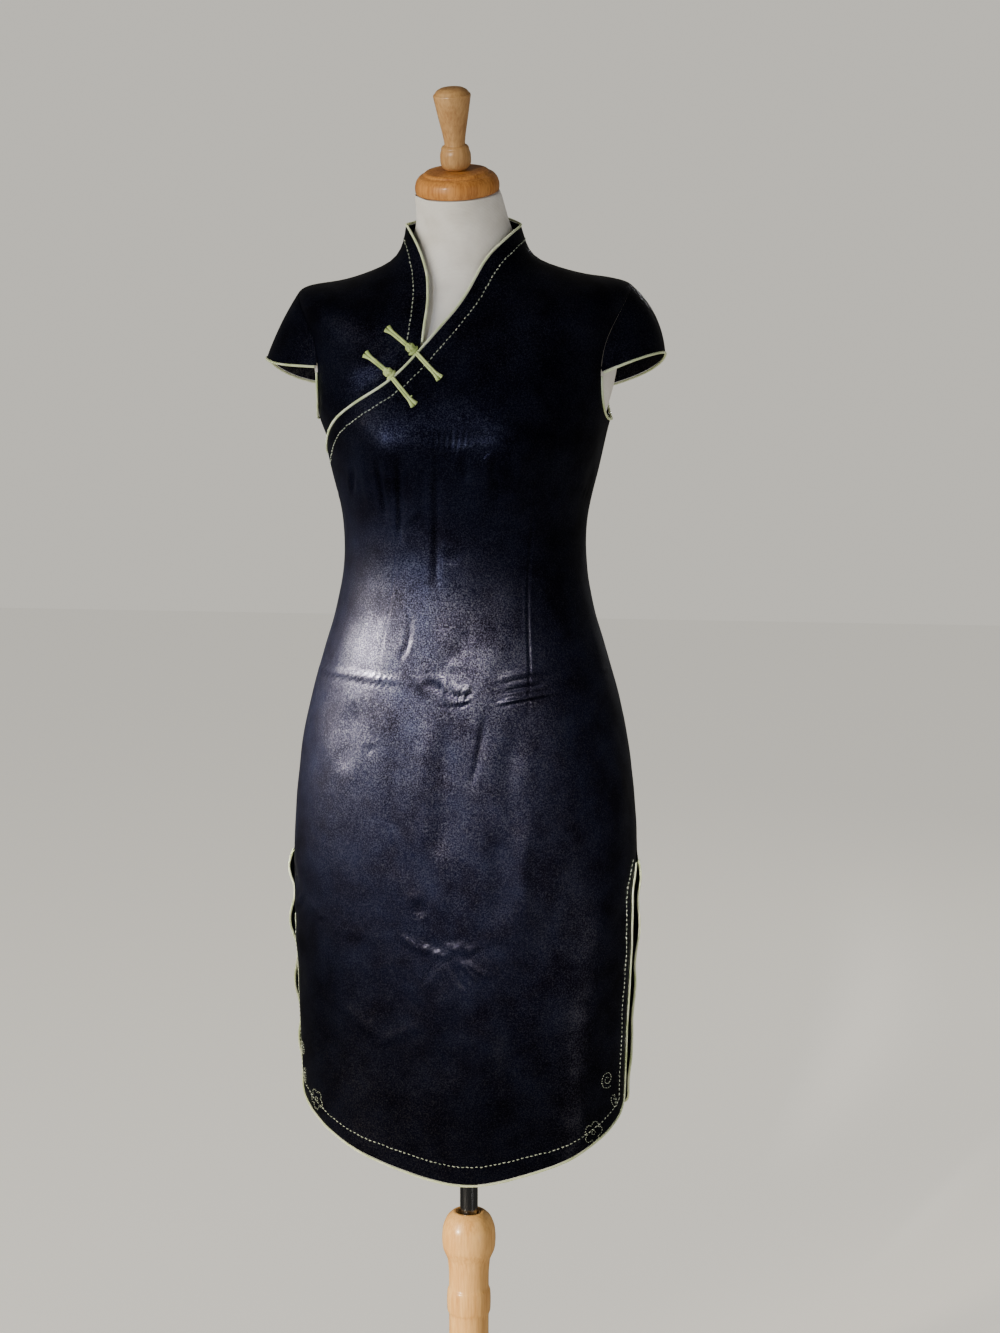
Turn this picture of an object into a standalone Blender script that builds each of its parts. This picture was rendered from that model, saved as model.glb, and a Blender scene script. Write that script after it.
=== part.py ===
"""Cheongsam dress on its limbless dress form and turned wooden stand.

The dress is a set of cut pieces, each a thin closed wall: a front that overlaps a right yoke
along one smooth edge, a back, two cap sleeves, piping on every free edge and two knotted
fastenings. All of them follow one body surface, which is a stack of rings. The form inside is
the same surface, set in by the dress's ease.

Frame: metres, +Z up, the wearer faces -Y, so the wearer's left is +X. The origin is the middle
of the base's underside. Tables are in millimetres and degrees. An angle of 0 is the left side
seam, -90 the middle of the front and -180 the right side seam.
"""
import math
from collections import namedtuple

import bmesh
import bpy
import numpy as np

MM = 0.001
FRONT_MIDDLE = -90.0

# Cloth and trim
CLOTH = 1.5 * MM            # satin with its turned edges, as one wall
SEAM = 0.3 * MM             # air between two pieces at a seam
PIPE = 1.5 * MM             # radius of the covered cord on the free edges
END_TRIM = 1 * MM           # a sleeve's piping stops this far short of its ends
NECK_TRIM = 6.5 * MM        # the neck's piping stops this far above the front's edge
ARMHOLE_TRIM = 8 * MM       # the armhole's piping stops this far below the sleeve's ends
UNDERLAP = 28 * MM          # how far the yoke runs on below the front's edge
TUCK = 3.1 * MM             # how deep the yoke lies there
TUCK_DEEPER = 1.4 * MM      # and this much more at its lower edge
TUCK_FLAT = 10 * MM         # full tuck this far above the edge
TUCK_FADE = 28 * MM         # and back to the surface over this height

# Skirt
HEM_LOW = 441.5 * MM        # middle of the hem above the floor
HEM_RISE = 75 * MM          # the hem curves up this much to the slits
HEM_POWER = 1.9
HEM_TILT = 9 * MM           # the dress hangs a little lower on the wearer's left
CORNER_RISE = 10 * MM       # rounded corner at the slit, its height
CORNER_SHARE = 0.09         # and its share of the half hem
SLIT_TOP = 800 * MM
SLIT_OPEN = 60 * MM         # the slit reaches its full gap this far below its top
SLIT_START = 1.3            # degrees from the side seam to the front's edge where it begins
BACK_GAP = 0.35             # the back's slit edge stays this share as far in
FLARE_WAVE = 0.6            # the back's swing comes and goes by this share
FLARE_PITCH = 68 * MM
LOW_ROWS = 6                # rows of the skirt below the slit's top
CLOSE_ROWS = (50 * MM, 20 * MM)   # the last of them and one more, this far below it
SEAM_HEIGHTS = (860, 925, 985, 1040, 1095, 1150, 1195, 1228)   # rows from the slit to the underarm

# Armholes and sleeves
ARM_INSET = 22.0            # deepest cut of the armhole, degrees in front of the side
ARM_INSET_BACK = 20.0
ARM_SKEW = 0.8              # the armhole is deepest below its middle
ARM_REACH = 75.0            # the panel's grid gives way over this many degrees
ARM_ROWS = 10
NECK_ROWS = 8                    # rows from the shoulder tip to the collar's top
NECK_CLOSE = 1.6                 # they are closer near the tip by this power
FRONT_NOTCH, BACK_NOTCH = 5, 4   # armhole rows where the sleeve begins and ends
SLEEVE_DROP = 3 * MM             # the sleeve's hem begins this far below its seam's ends
SLEEVE_IN = 1.2 * MM             # and this far into the armhole
SLEEVE_TIP = (213, -1)           # its tip from the body's middle, outwards and back
SLEEVE_UP = (0.85, 0.5)          # the sleeve rounds out this way, outwards and up
SLEEVE_ROWS = 4
FRONT_COLUMNS, BACK_COLUMNS, YOKE_COLUMNS = 27, 25, 13
COLUMN_LEAN = 0.6                # a panel's columns are closer near the side seams
YOKE_LEAN = 1.7                  # the yoke's columns are closer near the armhole
YOKE_LOW_ROWS = 4                # its rows below the underarm

# What differs between the wearer's sides: the front's slit edge in degrees from the seam, the
# back's swing there, the height of the sleeve's tip, how far the sleeve rounds out, how far up
# its front end moves, and how much its hem sags in front and behind
Side = namedtuple("Side", "word sign slit_gap flare tip_z bulge notch_up front_sag back_sag")
LEFT = Side("left", 1, 8.0, 3, 1328, 7.0, 3.5, 0, 5)
RIGHT = Side("right", -1, 3.0, 7, 1321, 2.5, 10, 8, 7)

Ring = namedtuple("Ring", "name mid_x side_x side_y side_z front_y front_z back_y back_z"
                          " power ease wide_ease lean")
RINGS = (
    Ring("hem",            -4, 178.0, 0, 430, -113, 430, 104, 430, 2.25, 4, 4, 0),
    Ring("low skirt",      -4, 182.0, 0, 560, -117, 560, 109, 560, 2.20, 4, 4, 0),
    Ring("slit",           -4, 187.0, 0, 690, -121, 690, 115, 690, 2.15, 4, 4, 0),
    Ring("thigh",          -4, 188.0, 0, 790, -123, 790, 119, 790, 2.15, 5, 5, 0),
    Ring("hip",            -4, 182.0, 0, 870, -122, 870, 119, 870, 2.15, 6, 6, 0),
    Ring("high hip",       -4, 172.5, 0, 933, -118, 933, 110, 933, 2.12, 8, 8, 0),
    Ring("belly",          -4, 157.0, 0, 993, -111, 993, 96, 993, 2.10, 10, 10, 0),
    Ring("low waist",      -4, 143.0, 0, 1040, -103, 1040, 84, 1040, 2.10, 11, 11, 0),
    Ring("waist",          -4, 130.5, 0, 1110, -97, 1110, 75, 1110, 2.10, 10, 10, 0),
    Ring("ribs",           -4, 134.0, 0, 1165, -103, 1165, 80, 1165, 2.15, 9, 9, 0),
    Ring("under bust",     -4, 143.0, 0, 1202, -110, 1202, 86, 1202, 2.20, 8, 8, 0),
    Ring("bust",           -4, 150.5, 0, 1236, -115, 1236, 91, 1236, 2.30, 7, 8, 0),
    Ring("underarm",       -4, 155.0, 2, 1255, -115, 1262, 93, 1262, 2.35, 6.5, 8, 0),
    Ring("chest",          -4, 166.0, 4, 1300, -107, 1296, 94, 1310, 2.40, 6, 7, 1),
    Ring("upper chest",    -4, 174.0, 6, 1350, -94, 1330, 88, 1356, 2.40, 4.5, 6.5, 2),
    Ring("shoulder tip",   -4, 177.0, 6, 1394, -82, 1358, 76, 1390, 2.30, 2.7, 6.5, 3),
    Ring("mid shoulder",   -4, 138.0, 4, 1404, -71, 1380, 66, 1410, 2.10, 2.6, 6.5, 3),
    Ring("inner shoulder", -4, 103.0, 2, 1413, -64, 1396, 60, 1424, 2.00, 2.2, 6.5, 2),
    Ring("neck side",      -4, 80.0, 0, 1423, -59, 1407, 56, 1434, 2.00, 2.6, 7, 1),
    Ring("collar base",    -4, 68.5, -3, 1435, -57, 1420, 51, 1446, 2.00, 4.5, 8, 0),
    Ring("collar top",     -5, 61.0, -6, 1459, -57, 1443, 44, 1471, 2.00, 10, 10, 0),
    Ring("neck top",      -10, 46.0, -16, 1494, -60, 1484, 28, 1504, 2.00, 0.2, 0.2, 0),
)

# The front's upper edge in one sweep: right side seam, diagonal, foot of the V, collar corner
Edge = namedtuple("Edge", "angle z")
FRONT_EDGE = (
    Edge(-180, 1214), Edge(-168, 1224), Edge(-158, 1241), Edge(-150, 1256),
    Edge(-142, 1269), Edge(-133, 1283), Edge(-124.4, 1297), Edge(-116.4, 1314.5),
    Edge(-110, 1331), Edge(-97, 1361), Edge(-87, 1379.5), Edge(-74, 1403), Edge(-54, 1429.5),
    Edge(-37, 1443), Edge(-24, 1451), Edge(0, 1459),
)
# The yoke's neck edge, from the shoulder seam at the collar down to the foot of the V
YOKE_NECK = (
    Edge(-180, 1459), Edge(-164, 1457), Edge(-145, 1442.5), Edge(-131.5, 1423),
    Edge(-122, 1406), Edge(-116.3, 1391), Edge(-113.1, 1375), Edge(-111.3, 1355),
    Edge(-110.6, 1336),
)

NECK_OPENING = (0, -70, 1460)       # a point in the open neck

# The skirt's largest soft folds, on the line from a high to a low point
Fold = namedtuple("Fold", "name top_angle top_z low_angle low_z wide out")
FOLDS = (
    Fold("left ridge",       -24, 800, -38, 440, 26, 3.0),
    Fold("left hollow",      -44, 760, -56, 440, 30, -2.0),
    Fold("middle ridge",     -92, 700, -82, 430, 30, 1.8),
    Fold("right hollow",    -118, 780, -112, 440, 32, -1.6),
    Fold("right ridge",     -146, 760, -136, 440, 34, 2.6),
    Fold("back left ridge",   42, 780, 50, 440, 34, 2.4),
    Fold("back hollow",       84, 740, 88, 440, 36, -1.8),
    Fold("back right ridge", 132, 780, 124, 440, 34, 2.6),
)
FOLD_FADE = 70 * MM

BUST_X, BUST_Z = 78 * MM, 1232 * MM         # where the darts give the front its fullness
BUST_WIDE, BUST_HIGH, BUST_OUT = 42 * MM, 40 * MM, 10 * MM

# Knotted fastenings: two tails and a knot each, across the front's edge
Frog = namedtuple("Frog", "name tail_angle tail_z knot_angle knot_z eye_angle eye_z end_angle end_z")
FROGS = (
    Frog("upper", -129.4, 1354.3, -113.4, 1332.2, -112.4, 1330.9, -96.8, 1304.1),
    Frog("lower", -135.8, 1328.4, -122.2, 1307.4, -121.9, 1305.6, -108.6, 1277.2),
)
FROG_POINTS = 12                    # rings along each half
FROG_SIDES = 8
TAIL_HIGH = 3.0 * MM
END_WIDE = 10.0 * MM
TAIL_SHARES = (0, 0.12, 0.3, 1)     # places along a half, and its width there of END_WIDE
TAIL_WIDTHS = (1, 0.85, 0.55, 0.5)
TIP_WIDE, TIP_HIGH = 0.85, 0.6      # the very tip is turned under
KNOT, EYE = 5.0 * MM, 4.2 * MM
HEAD_HIGH = 0.9                     # knot and eye are this share as high as wide
CLIMB_FROM, CLIMB_OVER = 0.45, 0.3  # the eye's half climbs the piping in this part

# Form and stand
FORM_FLOOR = 860 * MM
FORM_COLUMNS = 34
FORM_HEIGHTS = (860, 905, 955, 1000, 1050)       # rows below the waist
FORM_CHEST_ROWS = 9
FORM_SHOULDER = (-18, -6, 0, 6, 14, 26, 44, 62, 72, 82, 92, 104, 118)   # rows about the tip
FORM_NECK = 44.2 * MM                            # radius where the neck meets its cap
EASE_POWER = 0.7                                 # the ease goes from side to middle like this
CAP_CENTRE = (-10 * MM, -16 * MM, 1494 * MM)
CAP_LEAN = (-0.03, -0.225, 0.974)           # axis of the neck cap, leaning forward
Turn = namedtuple("Turn", "radius z")
ROD = (                                          # with the flange that carries the torso
    Turn(0, 332), Turn(10, 332), Turn(10, 843.7), Turn(16, 843.7), Turn(16, 855.7),
    Turn(45, 855.7), Turn(45, 859.7), Turn(0, 859.7),
)
NECK_CAP = (
    Turn(0, 0.3), Turn(42.5, 0.3), Turn(44.3, 2.5), Turn(44.6, 8), Turn(43.0, 14),
    Turn(39.5, 18.5), Turn(35.0, 20.2), Turn(34.2, 21.8), Turn(32.0, 23.4), Turn(0, 23.8),
)
FINIAL = (
    Turn(0, 24.1), Turn(11, 24.1), Turn(14.8, 27.5), Turn(16.2, 32), Turn(16.2, 41),
    Turn(14.6, 45.5), Turn(14.6, 47.5), Turn(13.2, 49.5), Turn(10.6, 50.5), Turn(12.0, 61),
    Turn(16.2, 82), Turn(19.0, 97.5), Turn(19.8, 101.8), Turn(19.2, 103.4), Turn(18.4, 103.7),
    Turn(16.3, 107), Turn(11.4, 109.8), Turn(0, 110.8),
)
POST = (
    Turn(0, 25.3), Turn(30, 25.3), Turn(33, 30), Turn(33, 36), Turn(28, 42), Turn(24, 60),
    Turn(22.2, 90), Turn(22.2, 250), Turn(24.2, 254), Turn(24.6, 266), Turn(24.2, 278),
    Turn(22.2, 282), Turn(22.4, 300), Turn(23.6, 314), Turn(25.6, 319), Turn(29.2, 327),
    Turn(30.2, 340), Turn(29.0, 353), Turn(24.5, 364), Turn(18.0, 370), Turn(14.0, 370),
    Turn(11.2, 362), Turn(10.4, 352), Turn(10.4, 331.7), Turn(0, 331.7),
)
BASE = (
    Turn(0, 0), Turn(158, 0), Turn(160, 2), Turn(160, 9), Turn(156, 15), Turn(146, 18.5),
    Turn(100, 21.5), Turn(60, 25), Turn(0, 25),
)

# Colours as linear values: near-black navy satin, pale green trim, jersey, maple, steel
SATIN = ("satin", (0.006, 0.007, 0.014), 0.35, 0.0)
TRIM = ("trim_cord", (0.50, 0.62, 0.28), 0.55, 0.0)
KNOTS = ("knot_cord", (0.36, 0.50, 0.14), 0.5, 0.0)
JERSEY = ("jersey", (0.80, 0.77, 0.71), 0.9, 0.0)
WOOD = ("turned_maple", (0.60, 0.36, 0.15), 0.35, 0.0)
STEEL = ("rod_steel", (0.55, 0.55, 0.56), 0.25, 1.0)


def ring_table():
    """The ring sizes as an array in metres, one row per ring, without the names."""
    table = np.array([ring[1:] for ring in RINGS], float)
    power = Ring._fields.index("power") - 1
    table[:, :power] *= MM
    table[:, power + 1:] *= MM
    return table


def stations(table):
    """Mean distance up the surface to each ring, along its side, front and back lines."""
    lines = table[:, 1:4], table[:, 4:6], table[:, 6:8]
    step = sum(np.linalg.norm(np.diff(line, axis=0), axis=1) for line in lines) / len(lines)
    return np.concatenate([[0.0], np.cumsum(step)])


def spline_bends(knots, values):
    """Second derivatives of the natural cubic spline through the values at the knots."""
    count = len(knots)
    gap = np.diff(knots)
    system = np.eye(count)
    right = np.zeros_like(values)
    for i in range(1, count - 1):
        system[i, i - 1:i + 2] = gap[i - 1], 2 * (gap[i - 1] + gap[i]), gap[i]
        climb, fall = values[i + 1] - values[i], values[i] - values[i - 1]
        right[i] = 6 * (climb / gap[i] - fall / gap[i - 1])
    return np.linalg.solve(system, right)


def spline(knots, values, bends, at):
    """The natural cubic spline at the places given; the last axis holds the columns."""
    at = np.asarray(at, float)
    i = np.clip(np.searchsorted(knots, at) - 1, 0, len(knots) - 2)
    gap = knots[i + 1] - knots[i]
    low = (knots[i + 1] - at) / gap
    high = 1 - low
    gap, low, high = gap[..., None], low[..., None], high[..., None]
    curve = (low ** 3 - low) * bends[i] + (high ** 3 - high) * bends[i + 1]
    return low * values[i] + high * values[i + 1] + curve * gap * gap / 6


RING_TABLE = ring_table()
STATION = stations(RING_TABLE)
RING_BENDS = spline_bends(STATION, RING_TABLE)


EASE = Ring._fields.index("ease") - 1


def station(name):
    """Distance up the surface to the named ring."""
    return STATION[[ring.name for ring in RINGS].index(name)]


def smooth(share):
    """Eased step from 0 to 1."""
    share = np.clip(share, 0.0, 1.0)
    return share * share * (3 - 2 * share)


def fold_height(angle, x, y, z):
    """How far the skirt's folds lift the cloth: a soft ridge along each fold's line."""
    radius = np.hypot(x, y)
    lift = np.zeros_like(z)
    for fold in FOLDS:
        share = (fold.top_z * MM - z) / ((fold.top_z - fold.low_z) * MM)
        line = np.radians(fold.top_angle + (fold.low_angle - fold.top_angle) * share)
        aside = np.arctan2(np.sin(angle - line), np.cos(angle - line)) * radius
        fade = smooth((fold.top_z * MM - z) / FOLD_FADE)
        lift = lift + fold.out * MM * fade * np.exp(-(aside / (fold.wide * MM)) ** 2)
    return lift


def body(angle, up):
    """Point of the dress's outer surface: a superellipse ring, raised at the sides.

    The ring's half widths differ in front and behind. Its height goes from the front's or
    back's to the side's with the square of how far out the point is, and it leans a little
    towards the wearer's right.
    """
    angle, up = np.broadcast_arrays(np.asarray(angle, float), np.asarray(up, float))
    ring = np.moveaxis(spline(STATION, RING_TABLE, RING_BENDS, up), -1, 0)
    mid_x, side_x, side_y, side_z, front_y, front_z, back_y, back_z, power, _, _, lean = ring
    cos, sin = np.cos(angle), np.sin(angle)
    front = sin < 0
    depth = np.where(front, side_y - front_y, back_y - side_y)
    radius = ((np.abs(cos) / side_x) ** power + (np.abs(sin) / depth) ** power) ** (-1 / power)
    x, y = radius * cos, radius * sin
    out = (x / side_x) ** 2
    z = np.where(front, front_z, back_z) * (1 - out) + side_z * out + lean * x / side_x
    bump = np.exp(-((np.abs(x) - BUST_X) / BUST_WIDE) ** 2 - ((z - BUST_Z) / BUST_HIGH) ** 2)
    y = y - np.where(front, BUST_OUT * bump * np.abs(sin), 0)
    lift = fold_height(angle, x, y, z)
    return np.stack([x + mid_x + lift * cos, y + side_y + lift * sin, z], -1)


def normal(angle, up, step=1e-4):
    """Outward unit normal of the surface, by central differences."""
    along = body(angle + step, up) - body(angle - step, up)
    rise = body(angle, up + step) - body(angle, up - step)
    out = np.cross(along, rise)
    return out / np.linalg.norm(out, axis=-1, keepdims=True)


def up_at(angle, z):
    """Distance up the surface at which the line of this angle reaches the height z."""
    angle, z = np.broadcast_arrays(np.asarray(angle, float), np.asarray(z, float))
    low, high = np.full(z.shape, STATION[0] - 0.02), np.full(z.shape, STATION[-2])
    for _ in range(40):
        middle = (low + high) / 2
        below = body(angle, middle)[..., 2] < z
        low, high = np.where(below, middle, low), np.where(below, high, middle)
    return (low + high) / 2


def edge_z(angle_deg):
    """Height of the front's upper edge at an angle in degrees."""
    table = np.array(FRONT_EDGE, float)
    values = table[:, 1:] * MM
    return spline(table[:, 0], values, spline_bends(table[:, 0], values), angle_deg)[..., 0]


def hem_z(angle_deg):
    """Height of the hem: a power curve up to the slits, with a rounded corner and a tilt."""
    from_middle = np.abs(np.abs(angle_deg) - 90)
    corner = np.clip((from_middle / 90 - 1 + CORNER_SHARE) / CORNER_SHARE, 0, 1)
    rise = HEM_RISE * (from_middle / 90) ** HEM_POWER
    rise = rise + CORNER_RISE * (1 - np.sqrt(1 - corner ** 2))
    return HEM_LOW + rise - HEM_TILT * np.cos(np.radians(angle_deg))


def arm_share(row):
    """Place of an armhole row between the underarm and the shoulder tip, 0 to 1."""
    return ((1 - np.cos(math.pi * row / ARM_ROWS)) / 2) ** (1 / ARM_SKEW)


def side_rows(first):
    """Distances up the side seam for a panel's rows, from its first to the collar's top."""
    underarm, tip, collar = station("underarm"), station("shoulder tip"), station("collar top")
    arm = underarm + (tip - underarm) * arm_share(np.arange(ARM_ROWS + 1))
    neck = tip + (collar - tip) * (np.arange(1, NECK_ROWS + 1) / NECK_ROWS) ** NECK_CLOSE
    return np.concatenate([first, arm, neck])


SLIT_UP = float(up_at(0.0, SLIT_TOP))
HEM_UP = float(up_at(0.0, hem_z(np.array(0.0))))
SKIRT_ROWS = np.concatenate([
    np.linspace(HEM_UP, SLIT_UP - CLOSE_ROWS[0], LOW_ROWS),
    [SLIT_UP - CLOSE_ROWS[1], SLIT_UP],
    up_at(0.0, np.array(SEAM_HEIGHTS) * MM),
])
SLIT_ROW = LOW_ROWS + 1             # the row at the slit's top


def column_angles(count):
    """Angles in degrees from -90 to 90 about a panel's middle, closer near the seams."""
    share = np.linspace(-1, 1, count)
    return 90 * ((1 - COLUMN_LEAN) * share + COLUMN_LEAN * np.sin(share * math.pi / 2))


def arm_cut(up, deepest):
    """Depth of the armhole in degrees: half an ellipse over its height, lowest part widest."""
    underarm, tip = station("underarm"), station("shoulder tip")
    share = np.clip((up - underarm) / (tip - underarm), 0, 1) ** ARM_SKEW
    return deepest * np.sqrt(np.clip(1 - (2 * share - 1) ** 2, 0, 1))


def on_left(angle_deg, left, right):
    """The left or the right side's value, by which side an angle lies on."""
    return np.where(np.cos(np.radians(angle_deg)) > 0, left, right)


def slit_cut(angle, up):
    """Distance in degrees of the front's slit edge from the side seam."""
    down = (SLIT_UP - up) / SLIT_OPEN
    gap = on_left(angle, LEFT.slit_gap, RIGHT.slit_gap)
    cut = SLIT_START + (gap - SLIT_START) * smooth(down)
    return np.where(down > 0.05, cut, 0.0)


def panel(count, middle, top_up, deepest, slit_share, right_arm=1):
    """Outer points and normals of a whole front or back, rows by columns.

    The hem moves only the rows below the slit's top, and a column that ends lower than the
    collar has its rows drawn together. Near a side seam the columns give way to the slit and
    to the armhole, on the right side only where there is one.
    """
    rows = side_rows(SKIRT_ROWS)[:, None]
    low = np.clip(1 - (rows - rows[0]) / (rows[SLIT_ROW] - rows[0]), 0, 1)
    spread = column_angles(count)
    angle = (middle + spread)[None, :]
    hem = up_at(np.radians(angle), hem_z(angle))
    even = rows + (hem - rows[0]) * low
    up = hem + (even - hem) * (top_up(angle) - hem) / (rows[-1] - hem)
    near = np.clip(1 - (90 - np.abs(spread)) / ARM_REACH, 0, 1)[None, :]
    cut = arm_cut(up, deepest) * on_left(angle, 1, right_arm) + slit_share * slit_cut(angle, up)
    angle = np.radians(angle - np.sign(spread)[None, :] * near * cut)
    points, out = body(angle, up), normal(angle, up)
    points[:, [0, -1], 1] += np.sign(middle) * SEAM / 2
    seam = cut[:, [0, -1]] == 0
    out[:, [0, -1], 1] = np.where(seam, 0, out[:, [0, -1], 1])
    return points, unit(out), up


def front_top(angle):
    """Top of the front's columns: the long edge from the side seam to the collar corner."""
    return up_at(np.radians(angle), edge_z(angle))


def back_top(angle):
    """Top of the back's columns: the collar's top."""
    return np.full(angle.shape, station("collar top"))


def front_panel():
    """The front and the whole skirt front. Its right side stops at the diagonal edge."""
    return panel(FRONT_COLUMNS, FRONT_MIDDLE, front_top, ARM_INSET, 1.0, right_arm=0)[:2]


def back_panel():
    """The back, whose slit edges swing out in a shallow wave."""
    points, out, up = panel(BACK_COLUMNS, -FRONT_MIDDLE, back_top, ARM_INSET_BACK, BACK_GAP)
    spread = column_angles(BACK_COLUMNS)[None, :]
    down = np.clip((SLIT_UP - up) / (SLIT_UP - HEM_UP), 0, 1)
    wave = 1 + FLARE_WAVE * np.sin(2 * math.pi * points[..., 2] / FLARE_PITCH)
    reach = on_left(90 + spread, LEFT.flare, RIGHT.flare) * MM
    swing = reach * wave * smooth(down * 5) * (1 - 0.7 * down) * (np.abs(spread) / 90) ** 8
    return points + out * swing[..., None], out


def curve_points(table, shares):
    """Points at shares of the length of a table's edge, as angles in degrees and distances up."""
    angle = np.array([row.angle for row in table], float)
    up = up_at(np.radians(angle), np.array([row.z for row in table]) * MM)
    places = body(np.radians(angle), up)
    length = np.concatenate([[0], np.cumsum(np.linalg.norm(np.diff(places, axis=0), axis=1))])
    values = np.stack([angle, up], -1)
    return spline(length, values, spline_bends(length, values), shares * length[-1])


def yoke_tuck(angle_deg, z):
    """How far the yoke lies in under the front: full at the edge, fading out above it."""
    above = z - edge_z(np.clip(angle_deg, -180, 0))
    deeper = TUCK_DEEPER * np.clip(-above / UNDERLAP, 0, 1)
    return TUCK * (1 - smooth((above - TUCK_FLAT) / TUCK_FADE)) + deeper


def yoke_panel():
    """The right yoke: its columns fan from under the front's edge to the neck edge."""
    spread = np.linspace(0, 1, YOKE_COLUMNS) ** YOKE_LEAN
    neck = curve_points(YOKE_NECK, spread)
    low_angle = neck[0, 0] + (neck[-1, 0] - neck[0, 0]) * spread
    low_z = edge_z(low_angle) - UNDERLAP
    low_up = up_at(np.radians(low_angle), low_z)
    climb = np.arange(YOKE_LOW_ROWS) / YOKE_LOW_ROWS
    rows = side_rows(low_up[0] + (station("underarm") - low_up[0]) * climb)
    share = ((rows - rows[0]) / (rows[-1] - rows[0]))[:, None]
    angle = low_angle + (neck[:, 0] - low_angle) * share
    up = low_up + (neck[:, 1] - low_up) * share
    near = np.clip(1 - (angle + 180) / (ARM_REACH - 10), 0, 1)
    angle = angle + near * arm_cut(up, ARM_INSET)
    turned = np.radians(angle)
    points, out = body(turned, up), normal(turned, up)
    points = points - out * yoke_tuck(angle, points[..., 2])[..., None]
    points[:, 0, 1] -= SEAM / 2
    return points, out


def unit(vectors):
    """The vectors at length one."""
    return vectors / np.linalg.norm(vectors, axis=-1, keepdims=True)


def tangents(path):
    """Unit direction of a path at each of its points."""
    return unit(np.gradient(path, axis=0))


def rim_side(path, out, towards):
    """Unit directions in the surface, square to the rim, on the side the vectors point to."""
    side = unit(np.cross(tangents(path), out))
    return side * np.sign(np.sum(side * towards))


def grid_normals(points, inside):
    """Unit normals of a grid of points, pointing away from a point inside."""
    along = np.gradient(points, axis=1)
    across = np.gradient(points, axis=0)
    out = unit(np.cross(along, across))
    return out * np.sign(np.sum(out * (points - inside)))


def arm_hole(sign):
    """A point in the middle of the armhole on one side."""
    return np.array([sign * 170 * MM, 0.0, 1305 * MM])


def armhole_rim(front, back, sign):
    """Both panels' rims round one armhole, from the underarm to the tip, with normals."""
    column_front = -1 if sign > 0 else 0
    column_back = 0 if sign > 0 else -1
    rows = slice(-ARM_ROWS - NECK_ROWS - 1, -NECK_ROWS)
    return (front[0][rows, column_front], front[1][rows, column_front],
            back[0][rows, column_back], back[1][rows, column_back])


def sleeve_panel(front, back, side):
    """A cap sleeve, lofted from the armhole's upper rim to its hem.

    The hem is half an ellipse from just below the seam's front end, through its tip, to just
    below the seam's back end. Between rim and hem the cloth runs straight but for a low bulge,
    which is highest in the middle.
    """
    sign = side.sign
    f_points, f_out, b_points, b_out = armhole_rim(front, back, sign)
    seam = np.concatenate([f_points[FRONT_NOTCH:-1], [(f_points[-1] + b_points[-1]) / 2],
                           b_points[BACK_NOTCH:-1][::-1]])
    out = np.concatenate([f_out[FRONT_NOTCH:], b_out[BACK_NOTCH:-1][::-1]])
    seam, out = trimmed(seam, out, side.notch_up * MM)
    towards = rim_side(seam, out, arm_hole(sign) - seam)
    seam = seam + towards * (SEAM + 0.1 * MM)
    first = seam[0] + unit(seam[0] - seam[1]) * SLEEVE_DROP + towards[0] * SLEEVE_IN
    last = seam[-1] + unit(seam[-1] - seam[-2]) * SLEEVE_DROP + towards[-1] * SLEEVE_IN
    tip = np.array((sign * SLEEVE_TIP[0], SLEEVE_TIP[1], side.tip_z)) * MM
    centre, half = (first + last) / 2, (last - first) / 2
    reach = tip + (RING_TABLE[0, 0], 0, 0) - centre
    length = np.concatenate([[0], np.cumsum(np.linalg.norm(np.diff(seam, axis=0), axis=1))])
    turn = (math.pi * length / length[-1])[:, None]
    hem = centre - half * np.cos(turn) + reach * np.sin(turn)
    sag = np.where(turn < math.pi / 2, side.front_sag, side.back_sag) * np.abs(np.sin(2 * turn))
    hem = hem - sag * (0, 0, MM)
    share = np.linspace(0, 1, SLEEVE_ROWS + 1)[:, None, None]
    points = seam + (hem - seam) * share
    lift = unit(np.array([sign * SLEEVE_UP[0], 0.0, SLEEVE_UP[1]])) * side.bulge * MM
    points = points + lift * (4 * share * (1 - share)) * np.sin(turn) ** 0.5
    normals = grid_normals(points, (0, 0, 1) * arm_hole(sign))
    normals[0] = out
    return points, normals


def band_faces(rows, columns):
    """Quads of a grid with this many rows and columns of points, first corner by corner."""
    first = (np.arange(rows - 1)[:, None] * columns + np.arange(columns - 1)).ravel()
    return np.stack([first, first + 1, first + columns + 1, first + columns], -1)


def mesh_object(name, points, faces, finish):
    """A mesh object from points and faces, facing outwards, with its Principled material."""
    mesh = bpy.data.meshes.new(name)
    mesh.from_pydata([tuple(point) for point in points], [], faces)
    shape = bmesh.new()
    shape.from_mesh(mesh)
    bmesh.ops.recalc_face_normals(shape, faces=shape.faces)
    shape.to_mesh(mesh)
    shape.free()
    mesh.shade_smooth()
    mesh.set_sharp_from_angle(angle=math.radians(40))
    mesh.materials.append(material(*finish))
    item = bpy.data.objects.new(name, mesh)
    bpy.context.scene.collection.objects.link(item)
    return item


def material(name, colour, roughness, metallic):
    """The named Principled material, made once."""
    if name in bpy.data.materials:
        return bpy.data.materials[name]
    made = bpy.data.materials.new(name)
    made.use_nodes = True
    shader = made.node_tree.nodes["Principled BSDF"]
    shader.inputs["Base Color"].default_value = (*colour, 1.0)
    shader.inputs["Roughness"].default_value = roughness
    shader.inputs["Metallic"].default_value = metallic
    return made


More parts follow.
